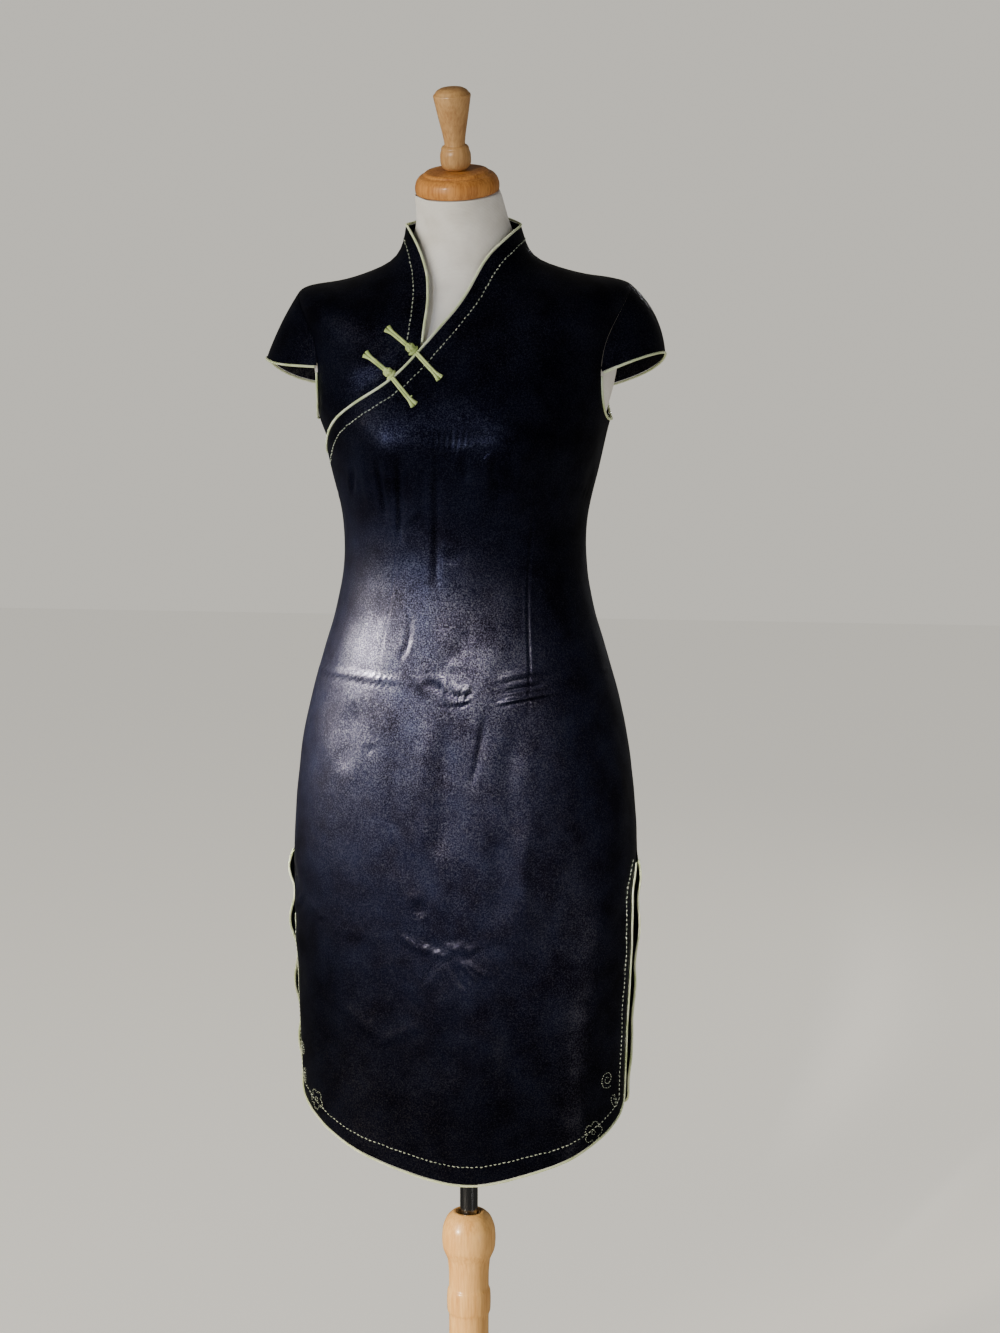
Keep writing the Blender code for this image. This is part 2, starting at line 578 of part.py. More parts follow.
def wall(name, points, out, finish):
    """A closed cloth wall: the outer grid, the same grid set in, and the rim between them."""
    rows, columns = points.shape[:2]
    inner = points - out * CLOTH
    everything = np.concatenate([points.reshape(-1, 3), inner.reshape(-1, 3)])
    count = rows * columns
    faces = band_faces(rows, columns)
    grid = np.arange(count).reshape(rows, columns)
    rim = np.concatenate([grid[0], grid[1:, -1], grid[-1, -2::-1], grid[-2:0:-1, 0]])
    after = np.roll(rim, -1)
    sides = np.stack([rim, rim + count, after + count, after], -1)
    quads = np.concatenate([faces, faces[:, ::-1] + count, sides])
    return mesh_object(name, everything, quads.tolist(), finish)


def tube(name, path, across, high, finish, sides=6, widths=None, heights=None):
    """A closed tube on a path: its section is an ellipse in the across and high directions."""
    turn = 2 * math.pi * (np.arange(sides) + 0.5) / sides
    widths = np.full(len(path), PIPE) if widths is None else widths
    heights = widths if heights is None else heights
    ring = (across[:, None] * np.cos(turn)[:, None] * widths[:, None, None]
            + high[:, None] * np.sin(turn)[:, None] * heights[:, None, None])
    points = (path[:, None] + ring).reshape(-1, 3)
    index = np.arange(len(points)).reshape(len(path), sides)
    faces = ring_faces(index) + [index[0].tolist(), index[-1].tolist()]
    return mesh_object(name, points, faces, finish)


def piping(name, rim, out, towards):
    """Covered cord along a rim, just off it, flush with the cloth's inner face."""
    side = rim_side(rim, out, towards)
    path = rim + side * (SEAM + PIPE) + out * (PIPE - CLOTH)
    return tube(name, path, side, out, TRIM)


def trimmed(rim, out, start=0.0, end=0.0):
    """A rim and its normals with a length cut off at each end."""
    length = np.concatenate([[0], np.cumsum(np.linalg.norm(np.diff(rim, axis=0), axis=1))])
    keep = (length > start + 1 * MM) & (length < length[-1] - end - 1 * MM)
    at = np.concatenate([[start], length[keep], [length[-1] - end]])
    cut = np.stack([np.interp(at, length, rim[:, axis]) for axis in range(3)], -1)
    face = np.stack([np.interp(at, length, out[:, axis]) for axis in range(3)], -1)
    return cut, unit(face)


def skirt_rim(points, out):
    """A panel's free rim: down one slit edge, along the hem and up the other."""
    rows = slice(SLIT_ROW - 1, 0, -1)
    path = np.concatenate([points[rows, 0], points[0], points[1:SLIT_ROW, -1]])
    face = np.concatenate([out[rows, 0], out[0], out[1:SLIT_ROW, -1]])
    return path, face


def garment():
    """Every cut and sewn piece of the dress."""
    front, back, yoke = front_panel(), back_panel(), yoke_panel()
    wall("front_main", *front, SATIN)
    wall("front_right_yoke", *yoke, SATIN)
    wall("back", *back, SATIN)
    up = np.array([0.0, 0.0, 1.0])
    rim, out = trimmed(front[0][-1], front[1][-1], PIPE * 2, SEAM)
    piping("piping_front_edge", rim, out, up)
    rim, out = trimmed(yoke[0][-1], yoke[1][-1], SEAM, NECK_TRIM)
    piping("piping_yoke_neck", rim, out, np.array(NECK_OPENING) * MM - rim)
    rim, out = trimmed(back[0][-1], back[1][-1], SEAM, SEAM)
    piping("piping_back_collar", rim, out, up)
    for name, (points, normals) in (("front", front), ("back", back)):
        rim, out = skirt_rim(points, normals)
        piping(f"piping_{name}_hem", rim, out, -up)
    for side, half in ((LEFT, front), (RIGHT, yoke)):
        points, normals = sleeve_panel(half, back, side)
        wall(f"sleeve_{side.word}", points, normals, SATIN)
        rim, out = trimmed(points[-1], normals[-1], END_TRIM, END_TRIM)
        piping(f"piping_sleeve_{side.word}", rim, out, rim - points[0].mean(0))
        f_points, f_out, b_points, b_out = armhole_rim(half, back, side.sign)
        rim = np.concatenate([f_points[FRONT_NOTCH + 1:0:-1],
                              [(f_points[0] + b_points[0]) / 2], b_points[1:BACK_NOTCH + 1]])
        out = np.concatenate([f_out[FRONT_NOTCH + 1:0:-1], [f_out[0]], b_out[1:BACK_NOTCH + 1]])
        above = np.linalg.norm(rim[1] - rim[0]) - side.notch_up * MM
        rim, out = trimmed(rim, out, above + ARMHOLE_TRIM, ARMHOLE_TRIM)
        piping(f"piping_armhole_{side.word}", rim, out, arm_hole(side.sign) - rim)
    for frog in FROGS:
        fastening(frog)


def frog_path(start, end, count):
    """Points from one place to another on the front, with the yoke's tuck off them."""
    angle = np.linspace(start[0], end[0], count)
    z = np.linspace(start[1], end[1], count) * MM
    turned = np.radians(angle)
    up = up_at(turned, z)
    return body(turned, up), normal(turned, up), yoke_tuck(angle, z)


def fastening(frog):
    """One knotted fastening: a tail with a ball knot on the yoke, a tail with an eye beside it.

    Each half is one tube that swells to a ball at its head. The half on the front climbs over
    the edge's piping.
    """
    halves = (("button", KNOT, 1, (frog.tail_angle, frog.tail_z), (frog.knot_angle, frog.knot_z)),
              ("loop", EYE, 0, (frog.end_angle, frog.end_z), (frog.eye_angle, frog.eye_z)))
    at = np.linspace(0, 1, FROG_POINTS)
    for word, head, tucked, start, end in halves:
        path, out, tuck = frog_path(start, end, FROG_POINTS)
        across = unit(np.cross(tangents(path), out))
        length = np.linalg.norm(path[-1] - path[0])
        near = np.clip((at * length - (length - head)) / head, -1, 1)
        ball = np.where(near > -1, np.sqrt(np.clip(1 - near ** 2, 0.02, 1)) * head, 0)
        tail = np.interp(at, TAIL_SHARES, TAIL_WIDTHS) * END_WIDE / 2
        tail[0] *= TIP_WIDE
        wide = np.maximum(np.where(at < 1, tail, 0), ball)
        high = np.maximum(np.where(at < 1, TAIL_HIGH / 2, 0), ball * HEAD_HIGH)
        high[0] *= TIP_HIGH
        climb = (1 - tucked) * (PIPE * 2 - CLOTH) * smooth((at - CLIMB_FROM) / CLIMB_OVER)
        path = path + out * (climb - tucked * tuck + SEAM + high)[:, None]
        tube(f"frog_{frog.name}_{word}", path, across, out, KNOTS, FROG_SIDES, wide, high)


def form_torso():
    """The jersey-covered torso: the dress's surface set in by the ease, cut flat below."""
    angle = np.radians(np.linspace(-180, 180, FORM_COLUMNS, endpoint=False))[None, :]
    low = up_at(0.0, np.array(FORM_HEIGHTS) * MM)
    chest = np.linspace(station("waist"), station("upper chest"), FORM_CHEST_ROWS)
    shoulder = station("shoulder tip") + np.array(FORM_SHOULDER) * MM
    rows = np.concatenate([low, chest, shoulder, [station("neck top")]])[:, None]
    ease = spline(STATION, RING_TABLE, RING_BENDS, rows)[..., EASE:EASE + 2]
    inset = ease[..., 0] + (ease[..., 1] - ease[..., 0]) * np.abs(np.sin(angle)) ** EASE_POWER
    points = body(angle, rows) - normal(angle, rows) * inset[..., None]
    points[0, :, 2] = FORM_FLOOR
    points[-1] = cap_ring(angle[0], FORM_NECK)
    index = np.arange(points[..., 0].size).reshape(points.shape[:2])
    faces = ring_faces(index) + [index[0].tolist(), index[-1].tolist()]
    mesh_object("form_torso", points.reshape(-1, 3), faces, JERSEY)


def ring_faces(index):
    """Quads between rings of points, from the points' indices in one row per ring."""
    around = np.roll(index, -1, axis=1)
    quads = np.stack([index[:-1], around[:-1], around[1:], index[1:]], -1)
    return quads.reshape(-1, 4).tolist()


def cap_frame():
    """Unit axis of the neck cap and two unit vectors square to it, the first near +X."""
    axis = unit(np.array(CAP_LEAN))
    across = unit(np.cross((0, 1, 0), axis))
    return axis, across, np.cross(axis, across)


def cap_ring(angle, radius):
    """A circle about the cap's centre in the cap's leaning plane."""
    _, across, ahead = cap_frame()
    circle = np.cos(angle)[:, None] * across + np.sin(angle)[:, None] * ahead
    return np.array(CAP_CENTRE) + circle * radius


def turned(name, profile, finish, sides, centre=(0, 0, 0), leaning=False):
    """A solid of revolution from a profile that starts and ends on its axis."""
    axis, across, ahead = cap_frame() if leaning else np.eye(3)[[2, 0, 1]]
    turn = 2 * math.pi * np.arange(sides) / sides
    circle = np.cos(turn)[:, None] * across + np.sin(turn)[:, None] * ahead
    radius = np.array([row.radius for row in profile[1:-1]]) * MM
    height = np.array([row.z for row in profile]) * MM
    rings = circle[None] * radius[:, None, None] + axis * height[1:-1, None, None]
    points = np.concatenate([rings.reshape(-1, 3), [axis * height[0], axis * height[-1]]])
    index = np.arange(len(radius) * sides).reshape(-1, sides)
    around = np.roll(index, -1, axis=1)
    faces = ring_faces(index)
    first, last = len(points) - 2, len(points) - 1
    faces += [[first, after, here] for here, after in zip(index[0], around[0])]
    faces += [[last, here, after] for here, after in zip(index[-1], around[-1])]
    mesh_object(name, points + np.array(centre), faces, finish)


def stand():
    """Form, cap, finial, rod, post and base."""
    form_torso()
    turned("neck_cap", NECK_CAP, WOOD, 32, CAP_CENTRE, leaning=True)
    turned("finial", FINIAL, WOOD, 24, CAP_CENTRE, leaning=True)
    turned("rod", ROD, STEEL, 20)
    turned("post", POST, WOOD, 24)
    turned("base", BASE, WOOD, 40)


def main():
    """Build the part in an empty scene."""
    for item in list(bpy.data.objects):
        bpy.data.objects.remove(item, do_unlink=True)
    stand()
    garment()


main()
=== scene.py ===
"""Looks of a cheongsam dress on its limbless dress form and turned wooden stand.

The cloth pieces are thin shells on the form that their solids have: one body surface, a stack
of rings, carries them all. Listed creases lift or sink each shell, and what lies on a
panel, such as piping and stitches, is made from that panel's own points.

Frame: metres, +Z up, the wearer faces -Y, so the wearer's left is +X. Tables are in millimetres
and degrees. An angle of 0 is the left side seam, -90 the middle of the front and -180 the right
side seam.
"""
import logging
import math
from dataclasses import dataclass, field
from enum import Enum

import bpy
import numpy as np
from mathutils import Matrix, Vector
from mathutils.bvhtree import BVHTree


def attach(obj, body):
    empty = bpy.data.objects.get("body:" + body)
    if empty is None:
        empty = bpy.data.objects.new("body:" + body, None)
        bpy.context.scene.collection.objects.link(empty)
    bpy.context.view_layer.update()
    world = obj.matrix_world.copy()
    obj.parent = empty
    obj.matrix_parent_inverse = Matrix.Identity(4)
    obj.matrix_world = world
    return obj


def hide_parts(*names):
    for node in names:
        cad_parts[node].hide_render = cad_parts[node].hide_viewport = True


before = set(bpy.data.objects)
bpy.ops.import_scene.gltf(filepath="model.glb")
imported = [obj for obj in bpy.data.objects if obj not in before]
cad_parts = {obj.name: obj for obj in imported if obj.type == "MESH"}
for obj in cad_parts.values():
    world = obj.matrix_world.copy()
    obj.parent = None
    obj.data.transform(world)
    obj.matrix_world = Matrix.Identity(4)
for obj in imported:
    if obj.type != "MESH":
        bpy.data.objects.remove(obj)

LOG = logging.getLogger("dress")
MM = 0.001


def unit(vectors: np.ndarray) -> np.ndarray:
    """The vectors at length one."""
    return vectors / np.linalg.norm(vectors, axis=-1, keepdims=True)


def smooth(share: np.ndarray) -> np.ndarray:
    """Eased step from 0 to 1: 3s^2 - 2s^3."""
    share = np.clip(share, 0.0, 1.0)
    return share * share * (3 - 2 * share)


def tangents(path: np.ndarray) -> np.ndarray:
    """Unit direction of a path at each of its points."""
    return unit(np.gradient(path, axis=0))


def lengths(path: np.ndarray) -> np.ndarray:
    """Distance along a path from its start to each point."""
    return np.concatenate([[0.0], np.cumsum(np.linalg.norm(np.diff(path, axis=0), axis=1))])


@dataclass(frozen=True)
class Spline:
    """Natural cubic spline through values at knots."""

    knots: np.ndarray
    values: np.ndarray

    def bends(self) -> np.ndarray:
        """Second derivatives at the knots, from the usual three-term system."""
        knots, values = self.knots, self.values
        gap = np.diff(knots)
        system = np.eye(len(knots))
        inner = np.arange(1, len(knots) - 1)
        system[inner, inner - 1], system[inner, inner + 1] = gap[:-1], gap[1:]
        system[inner, inner] = 2 * (gap[:-1] + gap[1:])
        slope = np.diff(values, axis=0) / gap[:, None]
        right = np.zeros_like(values)
        right[1:-1] = 6 * np.diff(slope, axis=0)
        return np.linalg.solve(system, right)

    def at(self, places: np.ndarray) -> np.ndarray:
        """Values at the places; a last axis is added for the columns.

        Args:
            places: knot coordinates, of any shape.

        Returns:
            The interpolated rows of values.
        """
        knots, values, bends = self.knots, self.values, self.bends()
        places = np.asarray(places, float)
        i = np.clip(np.searchsorted(knots, places) - 1, 0, len(knots) - 2)
        gap = knots[i + 1] - knots[i]
        low = (knots[i + 1] - places) / gap
        high = 1 - low
        gap, low, high = gap[..., None], low[..., None], high[..., None]
        curve = (low ** 3 - low) * bends[i] + (high ** 3 - high) * bends[i + 1]
        return low * values[i] + high * values[i + 1] + curve * gap * gap / 6


def resample_at(path: np.ndarray, out: np.ndarray,
                at: np.ndarray) -> tuple[np.ndarray, np.ndarray]:
    """A path's points and unit normals at distances from its start."""
    length = lengths(path)
    points, face = (np.stack([np.interp(at, length, rows[:, k]) for k in range(3)], -1)
                    for rows in (path, out))
    return points, unit(face)


def resampled(path: np.ndarray, out: np.ndarray, step: float) -> tuple[np.ndarray, np.ndarray]:
    """A path and its normals at even steps.

    Args:
        path: points along the path.
        out: unit normals at those points.
        step: wanted distance between points, in metres.

    Returns:
        The points and unit normals at even distances, both ends kept.
    """
    whole = lengths(path)[-1]
    return resample_at(path, out, np.linspace(0, whole, max(2, int(round(whole / step)) + 1)))


def trimmed(path: np.ndarray, out: np.ndarray, start: float = 0.0,
            end: float = 0.0) -> tuple[np.ndarray, np.ndarray]:
    """A path and its normals with a length cut off at each end.

    Args:
        path: points along the path.
        out: unit normals at those points.
        start: length to cut off at the start, in metres.
        end: length to cut off at the end, in metres.

    Returns:
        The shortened points and normals.
    """
    length = lengths(path)
    margin = 0.2 * MM
    keep = (length > start + margin) & (length < length[-1] - end - margin)
    return resample_at(path, out, np.concatenate([[start], length[keep], [length[-1] - end]]))


def rim_side(path: np.ndarray, out: np.ndarray, towards: np.ndarray) -> np.ndarray:
    """Unit directions in the surface, square to a rim, on the side the vectors point to."""
    side = unit(np.cross(tangents(path), out))
    return side * np.sign(np.sum(side * towards))


def grid_out(points: np.ndarray, hint: np.ndarray) -> np.ndarray:
    """Unit normals of a grid of points by central differences, on the hint's side."""
    out = unit(np.cross(np.gradient(points, axis=1), np.gradient(points, axis=0)))
    return out * np.sign(np.sum(out * hint, axis=-1, keepdims=True))


@dataclass(frozen=True)
class Ring:
    """One section of the dress: half widths, heights at side, front and back, and its ease."""

    name: str
    mid_x: float
    side_x: float
    side_y: float
    side_z: float
    front_y: float
    front_z: float
    back_y: float
    back_z: float
    power: float
    ease: float
    wide_ease: float
    lean: float


RINGS = (
    Ring("hem",            -4, 178.0, 0, 430, -113, 430, 104, 430, 2.25, 4, 4, 0),
    Ring("low skirt",      -4, 182.0, 0, 560, -117, 560, 109, 560, 2.20, 4, 4, 0),
    Ring("slit",           -4, 187.0, 0, 690, -121, 690, 115, 690, 2.15, 4, 4, 0),
    Ring("thigh",          -4, 188.0, 0, 790, -123, 790, 119, 790, 2.15, 5, 5, 0),
    Ring("hip",            -4, 182.0, 0, 870, -122, 870, 119, 870, 2.15, 6, 6, 0),
    Ring("high hip",       -4, 172.5, 0, 933, -118, 933, 110, 933, 2.12, 8, 8, 0),
    Ring("belly",          -4, 157.0, 0, 993, -111, 993, 96, 993, 2.10, 10, 10, 0),
    Ring("low waist",      -4, 143.0, 0, 1040, -103, 1040, 84, 1040, 2.10, 11, 11, 0),
    Ring("waist",          -4, 130.5, 0, 1110, -97, 1110, 75, 1110, 2.10, 10, 10, 0),
    Ring("ribs",           -4, 134.0, 0, 1165, -103, 1165, 80, 1165, 2.15, 9, 9, 0),
    Ring("under bust",     -4, 143.0, 0, 1202, -110, 1202, 86, 1202, 2.20, 8, 8, 0),
    Ring("bust",           -4, 150.5, 0, 1236, -115, 1236, 91, 1236, 2.30, 7, 8, 0),
    Ring("underarm",       -4, 155.0, 2, 1255, -115, 1262, 93, 1262, 2.35, 6.5, 8, 0),
    Ring("chest",          -4, 166.0, 4, 1300, -107, 1296, 94, 1310, 2.40, 6, 7, 1),
    Ring("upper chest",    -4, 174.0, 6, 1350, -94, 1330, 88, 1356, 2.40, 4.5, 6.5, 2),
    Ring("shoulder tip",   -4, 177.0, 6, 1394, -82, 1358, 76, 1390, 2.30, 2.7, 6.5, 3),
    Ring("mid shoulder",   -4, 138.0, 4, 1404, -71, 1380, 66, 1410, 2.10, 2.6, 6.5, 3),
    Ring("inner shoulder", -4, 103.0, 2, 1413, -64, 1396, 60, 1424, 2.00, 2.2, 6.5, 2),
    Ring("neck side",      -4, 80.0, 0, 1423, -59, 1407, 56, 1434, 2.00, 2.6, 7, 1),
    Ring("collar base",    -4, 68.5, -3, 1435, -57, 1420, 51, 1446, 2.00, 4.5, 8, 0),
    Ring("collar top",     -5, 61.0, -6, 1459, -57, 1443, 44, 1471, 2.00, 10, 10, 0),
    Ring("neck top",      -10, 46.0, -16, 1494, -60, 1484, 28, 1504, 2.00, 0.2, 0.2, 0),
)


@dataclass(frozen=True)
class Fold:
    """One of the skirt's largest soft folds, on the line from a high to a low point."""

    name: str
    top_angle: float
    top_z: float
    low_angle: float
    low_z: float
    wide: float
    out: float


FOLDS = (
    Fold("left ridge",       -24, 800, -38, 440, 26, 3.0),
    Fold("left hollow",      -44, 760, -56, 440, 30, -2.0),
    Fold("middle ridge",     -92, 700, -82, 430, 30, 1.8),
    Fold("right hollow",    -118, 780, -112, 440, 32, -1.6),
    Fold("right ridge",     -146, 760, -136, 440, 34, 2.6),
    Fold("back left ridge",   42, 780, 50, 440, 34, 2.4),
    Fold("back hollow",       84, 740, 88, 440, 36, -1.8),
    Fold("back right ridge", 132, 780, 124, 440, 34, 2.6),
)


class DressSurface:
    """The body surface that the dress and, set in by the ease, its form follow.

    A point has an angle round the body, in radians, and a distance up the surface, in metres.
    """

    fold_fade: float = 70 * MM
    bust_x: float = 78 * MM
    bust_z: float = 1232 * MM
    bust_wide: float = 42 * MM
    bust_high: float = 40 * MM
    bust_out: float = 10 * MM

    def __init__(self) -> None:
        """Works out the mean distance up to each ring and the splines through the rings."""
        rows = [tuple(vars(ring).values())[1:] for ring in RINGS]
        table = np.array(rows, float)
        power = 8
        table[:, :power] *= MM
        table[:, power + 1:] *= MM
        lines = table[:, 1:4], table[:, 4:6], table[:, 6:8]
        step = sum(np.linalg.norm(np.diff(line, axis=0), axis=1) for line in lines) / len(lines)
        self.stations = np.concatenate([[0.0], np.cumsum(step)])
        self.rings = Spline(self.stations, table)

    def station(self, name: str) -> float:
        """Distance up the surface to the named ring."""
        return float(self.stations[[ring.name for ring in RINGS].index(name)])

    def ease(self, up: np.ndarray) -> np.ndarray:
        """The ease at the side and at the middle, on a last axis."""
        return self.rings.at(up)[..., 9:11]

    def point(self, angle: np.ndarray, up: np.ndarray) -> np.ndarray:
        """Point of the dress's outer surface: a superellipse ring, raised at the sides.

        The radius is (|cos/side|^p + |sin/depth|^p)^(-1/p). The height goes from the front's
        or back's to the side's with the square of how far out the point is, and leans a
        little. A Gaussian bump at each side gives the bust its fullness.

        Args:
            angle: angles in radians.
            up: distances up the surface.

        Returns:
            Points, with x, y and z on the last axis.
        """
        angle, up = np.broadcast_arrays(np.asarray(angle, float), np.asarray(up, float))
        ring = np.moveaxis(self.rings.at(up), -1, 0)
        mid_x, side_x, side_y, side_z, front_y, front_z, back_y, back_z, power = ring[:9]
        cos, sin = np.cos(angle), np.sin(angle)
        front = sin < 0
        depth = np.where(front, side_y - front_y, back_y - side_y)
        round_off = (np.abs(cos) / side_x) ** power + (np.abs(sin) / depth) ** power
        radius = round_off ** (-1 / power)
        x, y = radius * cos, radius * sin
        out = (x / side_x) ** 2
        z = np.where(front, front_z, back_z) * (1 - out) + side_z * out + ring[11] * x / side_x
        bump = np.exp(-((np.abs(x) - self.bust_x) / self.bust_wide) ** 2
                      - ((z - self.bust_z) / self.bust_high) ** 2)
        y = y - np.where(front, self.bust_out * bump * np.abs(sin), 0)
        lift = self.fold_lift(angle, x, y, z)
        return np.stack([x + mid_x + lift * cos, y + side_y + lift * sin, z], -1)

    def fold_lift(self, angle: np.ndarray, x: np.ndarray, y: np.ndarray,
                  z: np.ndarray) -> np.ndarray:
        """Sum of a Gaussian ridge along each fold's line, faded in below the fold's top."""
        radius = np.hypot(x, y)
        lift = np.zeros_like(z)
        for fold in FOLDS:
            share = (fold.top_z * MM - z) / ((fold.top_z - fold.low_z) * MM)
            line = np.radians(fold.top_angle + (fold.low_angle - fold.top_angle) * share)
            aside = np.arctan2(np.sin(angle - line), np.cos(angle - line)) * radius
            fade = smooth((fold.top_z * MM - z) / self.fold_fade)
            lift = lift + fold.out * MM * fade * np.exp(-(aside / (fold.wide * MM)) ** 2)
        return lift

    def normal(self, angle: np.ndarray, up: np.ndarray, step: float = 1e-4) -> np.ndarray:
        """Outward unit normal of the surface, by central differences."""
        along = self.point(angle + step, up) - self.point(angle - step, up)
        rise = self.point(angle, up + step) - self.point(angle, up - step)
        return unit(np.cross(along, rise))

    def up_at(self, angle: np.ndarray, z: np.ndarray) -> np.ndarray:
        """Distance up the surface at which the line of an angle reaches a height, by halving."""
        angle, z = np.broadcast_arrays(np.asarray(angle, float), np.asarray(z, float))
        low = np.full(z.shape, self.stations[0] - 0.02)
        high = np.full(z.shape, self.stations[-2])
        for _ in range(34):
            middle = (low + high) / 2
            below = self.point(angle, middle)[..., 2] < z
            low, high = np.where(below, middle, low), np.where(below, high, middle)
        return (low + high) / 2

    def place(self, angle_deg: np.ndarray, z: np.ndarray) -> tuple[np.ndarray, np.ndarray]:
        """Points and normals at angles in degrees and heights in metres."""
        angle = np.radians(np.asarray(angle_deg, float))
        up = self.up_at(angle, z)
        return self.point(angle, up), self.normal(angle, up)


class Profile(Enum):
    """Cross-section of a crease."""

    FOLD = "one soft ridge or trough"
    PINCH = "a ridge with a trough beside it"
    SEAM = "a narrow groove between two low shoulders"


@dataclass(frozen=True)
class Crease:
    """A listed crease: points as angle and height, how deep (out is positive) and how wide."""

    profile: Profile
    deep: float
    wide: float
    path: tuple[tuple[float, float], ...]


def fold(deep: float, wide: float, *path: tuple[float, float]) -> Crease:
    """A soft crease."""
    return Crease(Profile.FOLD, deep, wide, path)


def pinch(deep: float, wide: float, *path: tuple[float, float]) -> Crease:
    """A crease with a ridge and a trough."""
    return Crease(Profile.PINCH, deep, wide, path)


def seam(deep: float, wide: float, *path: tuple[float, float]) -> Crease:
    """A dart's seam line."""
    return Crease(Profile.SEAM, deep, wide, path)


DRAG_FOLDS = (
    # Bust drag
    pinch(-1.7, 4, (-143.2, 1212), (-147.0, 1198), (-150.6, 1178)),
    pinch(-2.3, 4.5, (-129.6, 1225), (-130.4, 1187), (-131.2, 1150)),
    fold(1.4, 5, (-136.5, 1222), (-138.5, 1190), (-139.5, 1160)),
    pinch(-1.8, 4.5, (-117.8, 1228), (-121, 1177), (-124, 1125)),
    fold(1.5, 4.5, (-124.2, 1228), (-126.5, 1195), (-127.5, 1165)),
    pinch(-1.2, 5.5, (-98.6, 1231), (-101.4, 1157), (-102.8, 1073)),
    fold(1.2, 7, (-108.5, 1228), (-110.5, 1190), (-112.5, 1150)),
    fold(-1.2, 6, (-83, 1232), (-82.8, 1214), (-82.6, 1196)),
    pinch(-1.4, 6.5, (-69.4, 1232), (-68.2, 1200), (-67.2, 1172)),
    fold(1.2, 8, (-57, 1232), (-56, 1196), (-56.5, 1160)),
    # Under bust line
    pinch(-0.9, 3.6, (-120, 1244), (-101, 1242), (-85.6, 1240), (-65.8, 1244), (-51.2, 1229)),
    # Ribs slant
    pinch(0.7, 4, (-121.5, 1146), (-116, 1155), (-108, 1166)),
    # Ribs flat
    pinch(0.6, 4, (-100, 1130), (-94, 1126), (-86, 1127)),
    pinch(-0.7, 4, (-100, 1118), (-93, 1113), (-84, 1115)),
    # Left side pull
    fold(0.8, 7, (-33, 1226), (-26, 1208), (-14, 1190)),
    fold(0.7, 9, (-41, 1186), (-35, 1172), (-27, 1158)),
    fold(-0.7, 9, (-40, 1150), (-32, 1134), (-22, 1122)),
)
HIP_CREASES = (
    # Hip line right
    pinch(1.5, 2.3, (-177, 982), (-160, 986), (-143, 987.5), (-128.6, 986), (-110, 986.5)),
    # Hip crumple
    pinch(1.3, 2.6, (-113, 993), (-109.5, 987), (-107, 979), (-103, 973)),
    pinch(1.1, 2.6, (-110, 978), (-105, 988), (-100, 991), (-96, 987), (-95, 979), (-99, 973)),
    pinch(1.6, 2.4, (-96, 969.5), (-91.5, 967), (-85.5, 966.5), (-79.5, 969)),
    pinch(1.3, 2.5, (-93, 984), (-88.5, 978), (-84, 977), (-80.5, 981), (-82, 988)),
    pinch(0.9, 3, (-93, 1000), (-87, 1005), (-80, 1003)),
    pinch(1.0, 2.6, (-106, 996), (-101, 1001), (-96, 999)),
    pinch(-1.1, 2.4, (-104, 982), (-99, 980), (-94, 974)),
    pinch(-1.2, 2.2, (-90, 973), (-85, 972), (-79, 975)),
    # Hip line left
    pinch(1.3, 2.6, (-69, 988), (-60, 992), (-48, 996), (-38, 996)),
    pinch(1.5, 2.4, (-68, 965), (-58, 968.5), (-47, 972), (-37, 974)),
    pinch(-1.1, 2.6, (-64, 977), (-54, 981), (-43, 984)),
    # Hip line far left
    pinch(0.3, 4, (-28, 992), (-16, 990), (-4, 988)),
    # Belly curve
    fold(-1.3, 2.8, (-116.4, 1062), (-115.4, 1040), (-116, 1024), (-120.6, 1006)),
    # Belly curve ridge
    fold(0.4, 4, (-119.5, 1058), (-118.5, 1034), (-120, 1018)),
    # Belly soft
    fold(0.8, 8, (-97, 1050), (-99, 1020), (-101, 1000)),
    fold(-0.8, 8, (-84, 1046), (-86, 1020), (-90, 1003)),
    # Thigh curve
    fold(-1.3, 2.6, (-72.6, 962), (-74.6, 934), (-77, 905), (-81.5, 872)),
    # Thigh curve ridge
    fold(0.35, 6, (-76, 955), (-79, 925), (-81, 900)),
    # Dart end pucker
    pinch(0.6, 2.6, (-134, 921), (-129.5, 918), (-125, 921)),
    fold(-0.6, 2.4, (-132, 907), (-129.5, 914), (-128, 922)),
    # Right hip soft
    fold(0.6, 14, (-150, 1050), (-154, 1000), (-158, 950)),
    fold(-1.5, 12, (-139, 968), (-140, 930), (-143, 880)),
    # Middle soft
    fold(2.0, 8.5, (-104, 960), (-104, 900), (-103, 840), (-104, 780)),
    fold(-1.9, 9, (-94, 955), (-93, 890), (-94, 800)),
    fold(-1.9, 12, (-60, 940), (-62, 880), (-60, 820)),
    fold(-1.2, 9, (-119, 930), (-118, 880), (-119, 820)),
    # Left hip soft
    fold(0.7, 16, (-40, 960), (-36, 880), (-34, 800)),
)
